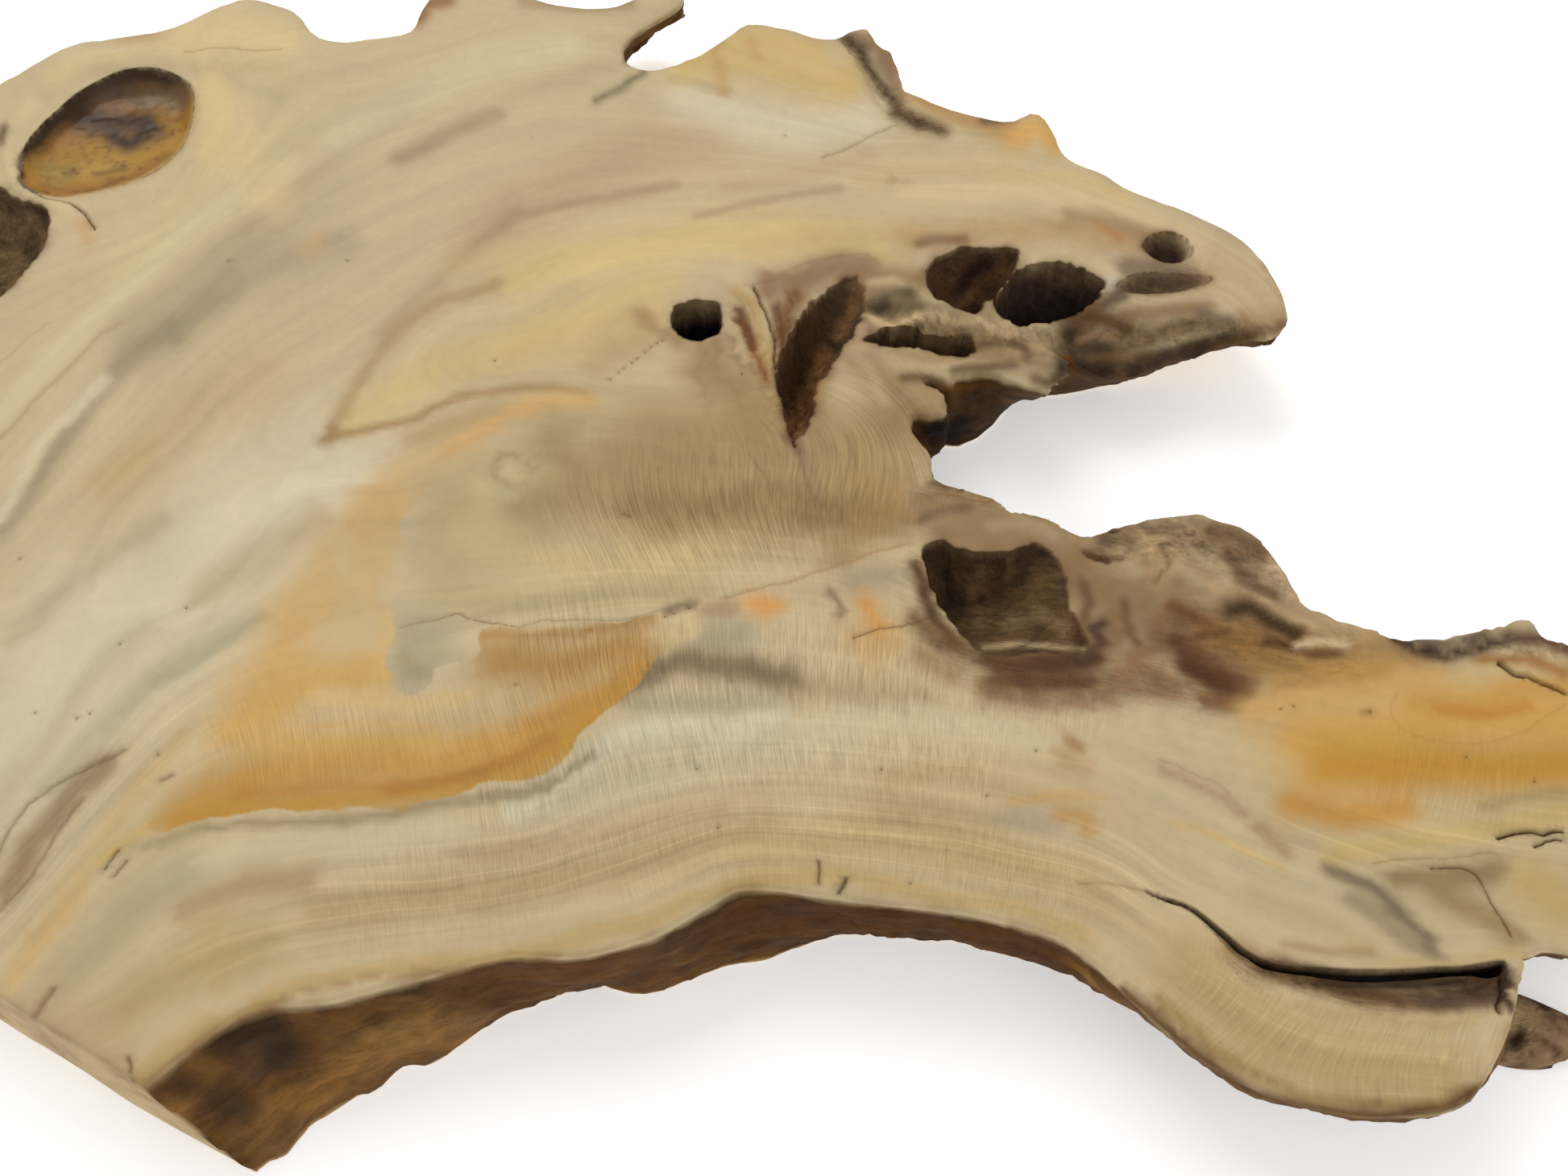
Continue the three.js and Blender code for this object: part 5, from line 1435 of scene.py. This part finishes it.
WALL_STAINS_AND_SHADOW = [  # the front side of the bark wood as it is seen below the face
    ("#96703e", 0.7, 34, [(320, 1400), (420, 1340), (520, 1290)]),
    ("#3a2a1e", 0.85, 24, [(270, 1300), (330, 1262), (350, 1300)]),
    ("#423022", 0.8, 26, [(230, 1350), (300, 1380)]),
    ("#3e2e22", 0.7, 14, [(340, 1290), (348, 1330)]),
    ("#967446", 0.7, 16, [(470, 1290), (560, 1280), (600, 1262)]),
    ("#785a40", 0.5, 14, [(340, 1430), (380, 1400)]),
    ("#5c4024", 0.8, 34, [(560, 1240), (700, 1210), (800, 1190)]),
    ("#503416", 0.85, 40, [(880, 1150), (1000, 1130), (1150, 1150), (1300, 1180)]),
    ("#4a3222", 0.7, 10, [(900, 1160), (940, 1130), (1010, 1120)]),
    # painted shadow: the two darkest strokes, the first and the third here, lie on the wall under
    # the overhanging shelf by the bay
    ("#322419", 0.9, 30, [(1180, 540), (1230, 510), (1260, 496)]),
    ("#745a40", 0.9, 12, [(1250, 490), (1290, 476), (1310, 470)]),
    ("#221811", 0.9, 13, [(1160, 546), (1176, 536), (1190, 526)]),
    ("#543c2a", 0.8, 26, [(1340, 470), (1440, 460), (1560, 430)]),
    ("#6e5232", 0.8, 22, [(1380, 1220), (1470, 1310), (1600, 1380), (1800, 1390)]),
]
ROT_REACH = 12  # rot stains the ground round a pit, and fades over a millimetre
ROT_FADE = 1.0
EDGE_FADE = 0.9
CRACK_SHADOW_FADE = 0.25
PIN_STAIN = 0.42
RIM_SHARE = 0.05  # share of the wall's height that still has the face's colour
RUST_RUN = (0.8, 14, [(1010, 452), (990, 486), (984, 520)])
KNOT_DOWN = np.array([0.8, -0.6])  # the way that the knot's bowl sinks, and then its far wall
KNOT_UP = np.array([-0.6, 0.8])
FRONT_SIDE = 0.35  # sides that face back more than this aren't seen from the front
MIDDLE_ROWS = len(WALL_ROWS) - 2

spot = np.column_stack([face_points, face_z])
fibre = rough(spot, (6, 6, 5), 91)
fibre_tone = blend(ROT_BROWN, ROT_DARK_AND_SHADE, 0.45 + 0.5 * fibre)
# rot is dark brown; painted shade darkens each pit further towards its floor, and the holes'
# colours come in from partway down
pit_tone_and_shade = blend(fibre_tone, ROT_DARK_AND_SHADE, 0.5 * face_level)
for name, tone in HOLE_TONES_AND_SHADE.items():
    pit_tone_and_shade = blend(pit_tone_and_shade, linear(tone), 2.5 * pit_level(face_points, name))
pit_tone_and_shade = painted(pit_tone_and_shade, seen_at(spot), PIT_STAINS_AND_SHADE)
pit_tone_and_shade = blend(pit_tone_and_shade, linear("#8c643c"), marked(crisp_seen, [RUST_RUN]))
# painted shadow: the long crack goes near black from its rim inwards
crack_shadow = np.clip(rim_distance(face_points, pit_rims["long_crack"]) / CRACK_SHADOW_FADE, 0, 1)
pit_tone_and_shade = blend(pit_tone_and_shade, linear("#1a130f"), crack_shadow)
near_rot = np.zeros(len(face_points))
for name, rim in pit_rims.items():
    if name in ("knot_bowl", "long_crack"):
        continue
    near = (np.abs(face_points - rim.mean(0)) < np.ptp(rim, axis=0) / 2 + ROT_REACH).all(1)
    gap = np.maximum(0, -rim_distance(face_points[near], rim))
    near_rot[near] = np.maximum(near_rot[near], np.exp(-gap / ROT_FADE))
face_tone = blend(face_tone, linear("#705436"), near_rot * (0.5 + 0.6 * fibre))
knot_at = pit_level(face_points, "knot_bowl")
knot_away = face_points - PITS["knot_bowl"][2]
knot_edge = 0.8 + 3.0 * np.clip(knot_away @ KNOT_DOWN / 16, 0, 1)
knot_in = np.clip(rim_distance(face_points, pit_rims["knot_bowl"]) / knot_edge + 0.5, 0, 1)
knot_tone = painted(linear("#a87a3e"), crisp_seen, KNOT_TONES)
knot_tone = blend(knot_tone, linear("#543c24"), 0.6 * rough(spot, (1.6, 1.6, 1.6), 97) - 0.05)
# painted shade on the far wall of the knot's bowl, darker away from its floor
knot_far_shade = np.clip(knot_away @ KNOT_UP / 10, 0, 1)
knot_tone = blend(knot_tone, linear("#403023"), knot_far_shade * (1.0 - knot_at) * 1.7)
rim_in = rim_gap(face_points, 3)
pitted = np.where(knot_at > 0, 0, np.clip((rim_in + 0.12) / 0.2, 0, 1))
for eye in EYES:
    eye_at = pit_level(face_points, eye)
    pitted = np.where(eye_at > 0, np.minimum(1, 1.7 * eye_at), pitted)
face_tone = blend(face_tone, pit_tone_and_shade, pitted)
face_tone = blend(face_tone, knot_tone, knot_in)
for (_, _, _, tone, strength), cover in zip(fine_lines, line_cover):
    face_tone = blend(face_tone, linear(tone), strength * cover)
face_tone = blend(face_tone, linear("#685034"), 0.9 - pin_gap / PIN_STAIN)
edge_stain = np.exp(-face_inset / EDGE_FADE) * np.clip(0.3 + rough(spot, 7, 99), 0, 1)
face_tone = blend(face_tone, EDGE_TAN, 0.6 * edge_stain)
ochre_tone = painted(face_tone, soft_seen, OCHRE_TONES)
ochre_tone = blend(ochre_tone, deepened(ochre_tone), 0.6)
plain_tone = painted(face_tone, crisp_seen, GREY_PATCH)
ochre_gap = rim_distance(face_points, even_points(on_face(OCHRE_EDGE), 1.2, True))
face_torn = np.maximum(pitted, marked(crisp_seen, ROUGHENED))

wall_points = np.concatenate(wall_rings[1:-1])
wall_share = np.repeat(WALL_ROWS[1:-1], len(live_edge))
sawn = np.tile(raggedness < SAWN_BELOW, MIDDLE_ROWS)
front = np.tile(edge_out[:, 1] < FRONT_SIDE, MIDDLE_ROWS)
mottle = rough(wall_points, (8, 8, 4), 101, 4)
wall_tone = blend(BARK_BROWN, BARK_DARK, 0.4 + 0.9 * mottle)
wall_tone = blend(wall_tone, BARK_GOLD, 1.3 * rough(wall_points, (16, 16, 9), 105) - 0.1)
wall_tone = blend(wall_tone, BARK_SLATE, 1.3 * rough(wall_points, (13, 13, 8), 107) - 0.2)
wall_seen = seen_at(wall_points) + 9 * np.stack([mottle, np.roll(mottle, 7)], 1)
stained_and_shaded_wall = painted(wall_tone, wall_seen, WALL_STAINS_AND_SHADOW)
wall_tone = np.where(front[:, None], stained_and_shaded_wall, wall_tone)
rim_tone = np.tile(face_tone[face_rim], (MIDDLE_ROWS, 1))
wall_tone = blend(wall_tone, rim_tone, 1 - wall_share / RIM_SHARE)
sawn_tone = blend(SAWN_PALE, linear("#a0845a"), 0.4 + mottle)
wall_tone = np.where(sawn[:, None], sawn_tone, wall_tone)

# The knuckle
# A low burr of old wood stands out of the foot of the near arm's end. It is one with the slab.
KNUCKLE_AT = (153.0, -120.6)
KNUCKLE_HALF = (12.0, 7.4)
KNUCKLE_HIGH = 6.6
KNUCKLE_FULL_TO = 148.0  # beyond this it tapers to the right
KNUCKLE_TURNS = 64
KNUCKLE_CLIMBS = 17
KNUCKLE_TOP = 0.99  # share of the climb, so that the last ring leaves a small flat to close
KNUCKLE_TAPER = (0.42, 0.6)  # how much lower, and how much thinner from behind
DIMPLES = (0.2, 0.3)  # how far they draw it in, and down
PALE_FROM = 4.6
KNOTHOLE = np.array([149.0, -124.5, 4.5])
KNOTHOLE_REACH = 1.8
around = np.linspace(0, 2 * math.pi, KNUCKLE_TURNS, endpoint=False)
bearing, climb = np.meshgrid(around, np.linspace(0, KNUCKLE_TOP, KNUCKLE_CLIMBS))
spread = np.cos(climb * math.pi / 2) ** 0.7
knuckle = np.stack([
    KNUCKLE_AT[0] + KNUCKLE_HALF[0] * spread * np.cos(bearing),
    KNUCKLE_AT[1] + KNUCKLE_HALF[1] * spread * np.sin(bearing),
    KNUCKLE_HIGH * np.sin(climb * math.pi / 2) ** 0.8,
], 2).reshape(-1, 3)
dimple = np.minimum(0, rough(knuckle, 4, 111, 4))[:, None]
knuckle[:, :2] += (knuckle[:, :2] - KNUCKLE_AT) * DIMPLES[0] * dimple
knuckle[:, 2] *= 1 + DIMPLES[1] * dimple[:, 0]
past = np.clip((knuckle[:, 0] - KNUCKLE_FULL_TO) / KNUCKLE_HALF[0], 0, 1.5)
knuckle[:, 2] *= 1 - KNUCKLE_TAPER[0] * past
beyond = np.maximum(0, knuckle[:, 1] - KNUCKLE_AT[1])
knuckle[:, 1] -= KNUCKLE_TAPER[1] * past * beyond
gnarled = 0.3 + 1.3 * rough(knuckle, 3, 113)
knuckle_tone = blend(linear("#9e8468"), linear("#543e2e"), gnarled)
knuckle_tone = blend(knuckle_tone, linear("#bea680"), (knuckle[:, 2] - PALE_FROM) / 1.4)
# painted shade: a dark spot, with no hole cut, stands for the shaded inside of a knothole
knothole_shade = falloff(knuckle, KNOTHOLE, KNOTHOLE_REACH)
knuckle_tone = blend(knuckle_tone, linear("#32241a"), 1.6 * knothole_shade)

# The slab
# Face, bark side, underside and knuckle go into one mesh with closed seams, and each point carries
# its colour, the age of its rings, its run along the grain, and what figure shows there.
SLAB = "elderberry_wood_slice"
SHARP_FROM = math.radians(62)
NO_OCHRE = -30.0  # mm outside the ochre stain
BARK_SHARE = 0.06  # share of the wall's height over which the bark side's finish comes in
KNOT_GLAZE = [
    (1.0, 24, [(98, 140), (140, 120), (180, 110), (215, 112)]), (1.0, 12, [(140, 160), (182, 154)]),
]
STRIP_GLAZE = [(0.7, 12, [(1740, 795), (1790, 812), (1850, 796), (1946, 806)])]
ring_size = len(live_edge)
first_wall = len(face_points)
first_under = first_wall + len(wall_points)
first_knuckle = first_under + len(under_points)
all_points = np.concatenate([
    spot, wall_points, np.column_stack([under_points, under_z]), knuckle,
])
rows = [first_wall + ring_size * k + np.arange(ring_size) for k in range(MIDDLE_ROWS)]
rows = [face_rim, *rows, first_under + under_rim]
quads = [
    np.stack([upper, lower, np.roll(lower, -1), np.roll(upper, -1)], 1)
    for upper, lower in zip(rows[:-1], rows[1:])
]
turn = np.arange(KNUCKLE_TURNS)
for level in range(KNUCKLE_CLIMBS - 1):
    low = first_knuckle + KNUCKLE_TURNS * level + turn
    high = low + KNUCKLE_TURNS
    quads.append(np.stack([low, np.roll(low, -1), np.roll(high, -1), high], 1))
quads = np.concatenate(quads)
triangles = np.concatenate([face_triangles, under_triangles[:, ::-1] + first_under])

slab_mesh = bpy.data.meshes.new("elder_slab")
own_low, own_high = all_points.min(0), all_points.max(0)
shift = np.array(cad_box).mean(0) * 1000 - (own_low + own_high) / 2
shift[2] = 0
knuckle_foot = first_knuckle + turn[::-1]
knuckle_top = first_knuckle + KNUCKLE_TURNS * (KNUCKLE_CLIMBS - 1) + turn
slab_mesh.from_pydata(
    (all_points + shift) / 1000, [],
    triangles.tolist() + quads.tolist() + [knuckle_foot.tolist(), knuckle_top.tolist()],
)


def give(name, values):
    """Stores one number, or one colour, for each point of the slab."""
    values = np.asarray(values, np.float32)
    if values.ndim == 1:
        slab_mesh.attributes.new(name, "FLOAT", "POINT").data.foreach_set("value", values)
    else:
        opaque = np.column_stack([values, np.ones(len(values), np.float32)])
        layer = slab_mesh.attributes.new(name, "FLOAT_COLOR", "POINT")
        layer.data.foreach_set("color", opaque.ravel())


def over_all(*values):
    """One array over all the slab's points, from an array or one plain value for each part: the
    face, the bark side, the underside and the knuckle."""
    parts = (face_points, wall_points, under_points, knuckle)
    return np.concatenate([np.broadcast_to(v, len(part)) for v, part in zip(values, parts)])


under_streaks = 0.5 + rough(under_points, (40, 16), 121)
under_tone = blend(linear(PALE_WOOD), linear("#b29668"), under_streaks)
rest_tone = np.concatenate([wall_tone, under_tone, knuckle_tone])
give("tone", np.concatenate([plain_tone, rest_tone]))
give("ochre_tone", np.concatenate([ochre_tone, rest_tone]))
give("ochre_gap", over_all(ochre_gap, NO_OCHRE, NO_OCHRE, NO_OCHRE))
give("age", ring_age(all_points))
give("run", grain_run(all_points))
bark_wall = np.clip(wall_share / BARK_SHARE, 0, 1) * np.where(sawn, 0.2, 1)
give("bark", over_all(0.0, bark_wall, 0.0, 1.0))
give("torn", over_all(face_torn, 0.0, 0.0, 0.0))
glazed = np.maximum(marked(crisp_seen, KNOT_GLAZE) * knot_in, marked(crisp_seen, STRIP_GLAZE))
give("glaze", over_all(glazed, 0.0, 0.0, 0.0))
give("rayed", over_all(marked(soft_seen, RAYED), 0.0, 0.2, 0.0))
give("ringed", over_all(marked(soft_seen, RINGED), 0.0, 0.8, 0.0))
slab_mesh.shade_smooth()
slab_mesh.set_sharp_from_angle(angle=SHARP_FROM)
slab = bpy.data.objects.new(SLAB + "_dressed", slab_mesh)
bpy.context.scene.collection.objects.link(slab)

# The wood's finish
# Sanded elder has a soft sheen, thin growth rings, very fine rays across them and soft streaks
# along them; rot and the bark side are rough and dull, the pocket in the knot is glazed.


class Wired:
    """A socket of the finish: a sum on it, either way round, adds its own Math nodes."""

    def __init__(self, finish, socket):
        self.finish = finish
        self.socket = socket

    def sum(self, operation, *others):
        sockets = dict(enumerate((self, *others)))
        return self.finish.node("ShaderNodeMath", {"operation": operation}, sockets)

    def __add__(self, other):
        return self.sum("ADD", other)

    def __sub__(self, other):
        return self.sum("SUBTRACT", other)

    def __rsub__(self, other):
        negative = self.sum("MULTIPLY", -1.0)
        return negative.sum("ADD", other)

    def __mul__(self, other):
        return self.sum("MULTIPLY", other)

    __radd__ = __add__
    __rmul__ = __mul__

    def clip(self):
        low = self.sum("MAXIMUM", 0.0)
        return low.sum("MINIMUM", 1.0)

    def step(self, low, high):
        """Zero below low, one above high, a smooth step between."""
        settings = {"interpolation_type": "SMOOTHSTEP"}
        sockets = {"Value": self, "From Min": low, "From Max": high}
        return self.finish.node("ShaderNodeMapRange", settings, sockets)


class Finish:
    """A material's node tree, filled by one method."""

    def __init__(self, name):
        self.material = bpy.data.materials.new(name)
        self.material.use_nodes = True
        self.tree = self.material.node_tree
        self.shader = self.tree.nodes["Principled BSDF"]

    def node(self, kind, settings, sockets, output=0):
        """A new node: its settings are set first, then its sockets get their values or links."""
        made = self.tree.nodes.new(kind)
        for name, value in settings.items():
            setattr(made, name, value)
        for name, value in sockets.items():
            self.put(made.inputs[name], value)
        return Wired(self, made.outputs[output])

    def put(self, socket, value):
        if isinstance(value, Wired):
            self.tree.links.new(value.socket, socket)
        else:
            socket.default_value = value

    def attribute(self, name, output="Fac"):
        return self.node("ShaderNodeAttribute", {"attribute_name": name}, {}, output)

    def vector(self, x, y, z):
        return self.node("ShaderNodeCombineXYZ", {}, {"X": x, "Y": y, "Z": z})

    def noise(self, vector, scale, detail=3.0, roughness=0.55, distortion=0.0):
        sockets = {
            "Vector": vector, "Scale": scale, "Detail": detail, "Roughness": roughness,
            "Distortion": distortion,
        }
        return self.node("ShaderNodeTexNoise", {}, sockets)

    def mix(self, share, first, second, blend_type="MIX"):
        """Mixes two colours: their sockets are the inputs 6 and 7 and the output 2."""
        settings = {"data_type": "RGBA", "blend_type": blend_type}
        return self.node("ShaderNodeMix", settings, {0: share, 6: first, 7: second}, 2)


def rgb(colour):
    """A plain colour for a socket, from a display colour."""
    return (*linear(colour), 1.0)


wood = Finish("elder_wood")
age, run, bark, torn, glaze, rayed, ringed = (
    wood.attribute(name) for name in ("age", "run", "bark", "torn", "glaze", "rayed", "ringed")
)
place = wood.node("ShaderNodeTexCoord", {}, {}, "Object")
height = wood.node("ShaderNodeSeparateXYZ", {}, {"Vector": place}, "Z")
sanded = (1.0 - bark) * (1.0 - torn)

wobble = wood.noise(place, 30.0, 2.0)
ring_line = age + (wobble - 0.5) * 4.0
streak = wood.noise(wood.vector(run * 0.016, ring_line * 0.15, 0.0), 1.0, 5.0, 0.6, 0.25)
fine_streak = wood.noise(wood.vector(run * 0.04, ring_line * 0.9, 2.0), 1.0, 4.0, 0.62)
rays = wood.noise(wood.vector(run * 1.7, age * 0.07, 0.0), 1.0, 2.0, 0.7)
fine_rays = wood.noise(wood.vector(run * 3.6, age * 0.16, 5.0), 1.0, 2.0, 0.6)
ring_noise = wood.noise(wood.vector(run * 0.008, ring_line * 0.2, 3.0), 1.0, 2.0, 0.5)
ring_wave = (ring_line * 0.95 + ring_noise * 9.0).sum("SINE")
pale_ring = ring_wave.step(0.86, 1.0)
dark_ring = (0.0 - ring_wave).step(0.2, 1.0)
cloudy = wood.noise(place, 22.0, 5.0, 0.6, 0.5)
grain_dots = wood.noise(wood.vector(run * 0.5, age * 1.0, 7.0), 1.0, 2.0, 0.6).step(0.7, 0.78)
wall_fibre = wood.noise(wood.vector(run * 0.09, height * 520.0, age * 0.2), 1.0, 5.0, 0.65, 0.4)
rough_tone = wood.noise(place, 420.0, 6.0, 0.7)
blotches = wood.noise(place, 150.0, 6.0, 0.68, 0.8)
torn_fibre = wood.noise(wood.vector(run * 0.22, age * 1.5, height * 240.0), 1.0, 5.0, 0.7, 0.5)

edge = wood.attribute("ochre_gap") + (cloudy - 0.5) * 3.0 + (rays - 0.5) * 0.6 * rayed
edge = edge + (blotches - 0.5) * 3.0 + (fine_streak - 0.5) * 0.6
plain = wood.attribute("tone", "Color")
tone = wood.mix(edge.step(-0.3, 0.5), plain, wood.attribute("ochre_tone", "Color"))
ray_shade = ((rays - 0.5) * 0.7 + (fine_rays - 0.5) * 1.2) * rayed
ring_shade = (pale_ring * 0.16 - dark_ring * 0.13) * ringed
streak_shade = (streak - 0.5) * 0.4 + (fine_streak - 0.5) * (0.08 + ringed * 0.28)
mealy = (cloudy - 0.5) * 0.2 + (rough_tone - 0.5) * 0.16 + (blotches - 0.5) * 0.14
shade = 1.0 + sanded * (streak_shade + ray_shade + ring_shade + mealy)
shade = shade + bark * (wall_fibre - 0.5) * 1.6 + (1.0 - sanded) * (rough_tone - 0.5) * 0.8
shade = shade + torn * ((torn_fibre - 0.5) * 2.0 + (blotches - 0.5) * 2.4)
grey = wood.node(
    "ShaderNodeCombineColor", {}, {"Red": shade, "Green": shade, "Blue": shade * 1.06 - 0.06}
)
tone = wood.mix(1.0, tone, grey, "MULTIPLY")
tone = wood.mix(grain_dots * 0.2 * sanded, tone, rgb("#80623e"))
specks = rough_tone.step(0.56, 0.66) * torn * 0.5
tone = wood.mix(specks, tone, rgb("#4a3626"))

dull = 0.52 + bark * 0.36 + torn * 0.34 - glaze * 0.2 + (fine_streak - 0.5) * 0.15
fine_relief = (rays * 0.5 + fine_rays * 0.3) * rayed + fine_streak * 0.4
rough_relief = rough_tone * 0.7 + wall_fibre * bark + torn_fibre * torn
relief = fine_relief * sanded * 0.07 + rough_relief * (1.0 - sanded) * (1.0 - glaze * 0.7)
bumps = wood.node("ShaderNodeBump", {}, {"Height": relief, "Strength": 0.7, "Distance": 0.0011})
wood.put(wood.shader.inputs["Base Color"], tone)
wood.put(wood.shader.inputs["Roughness"], dull.clip())
wood.put(wood.shader.inputs["Normal"], bumps)
wood.shader.inputs["Specular IOR Level"].default_value = 0.22
slab_mesh.materials.append(wood.material)
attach(slab, "root")
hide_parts(SLAB)

# The table, the light and the view
# A plain white table stands under soft light from above at the back left, with a weaker light in
# front. The view is the picture's.
SENSOR = 36.0
TABLE_HALF = 3.0
TABLE_DROP = 0.0004  # under the slab's foot, so that the two don't flicker
WHITE = (1.0, 1.0, 1.0, 1.0)
table_mesh = bpy.data.meshes.new("table")
corners = [(x * TABLE_HALF, y * TABLE_HALF, 0) for x, y in ((-1, -1), (1, -1), (1, 1), (-1, 1))]
table_mesh.from_pydata(corners, [], [(0, 1, 2, 3)])
table = bpy.data.objects.new("table", table_mesh)
table.location.z = -TABLE_DROP
bpy.context.scene.collection.objects.link(table)
table_finish = Finish("white_table")
table_finish.shader.inputs["Base Color"].default_value = (0.96, 0.96, 0.96, 1.0)
table_finish.shader.inputs["Emission Color"].default_value = WHITE
table_finish.shader.inputs["Emission Strength"].default_value = 0.38
table_finish.shader.inputs["Roughness"].default_value = 0.9
table_mesh.materials.append(table_finish.material)

world = bpy.data.worlds.new("studio")
world.use_nodes = True
backdrop = world.node_tree.nodes["Background"]
backdrop.inputs["Color"].default_value = WHITE
backdrop.inputs["Strength"].default_value = 0.5
bpy.context.scene.world = world


def soft_light(name, place, size, watts):
    """Square lamp at a place, turned to the middle of the slab."""
    lamp = bpy.data.lights.new(name, "AREA")
    lamp.size = size
    lamp.energy = watts
    holder = bpy.data.objects.new(name, lamp)
    holder.location = place
    tilt = math.atan2(math.hypot(place[0], place[1]), place[2])
    holder.rotation_euler = (tilt, 0, math.atan2(place[1], place[0]) + math.pi / 2)
    bpy.context.scene.collection.objects.link(holder)


soft_light("overhead", (-0.35, 0.75, 1.15), 1.1, 9.5)
soft_light("front_fill", (0.5, -0.9, 0.9), 0.9, 3.0)

camera_data = bpy.data.cameras.new("eye")
camera_data.sensor_width = SENSOR
camera_data.lens = FOCAL / PICTURE[0] * SENSOR
camera_data.clip_start = 0.01
camera = bpy.data.objects.new("eye", camera_data)
camera.location = (EYE + shift) / 1000
camera.rotation_euler = (math.pi / 2 - LOOK_DOWN, 0, 0)
bpy.context.scene.collection.objects.link(camera)
bpy.context.scene.camera = camera
bpy.context.scene.view_settings.view_transform = "Standard"
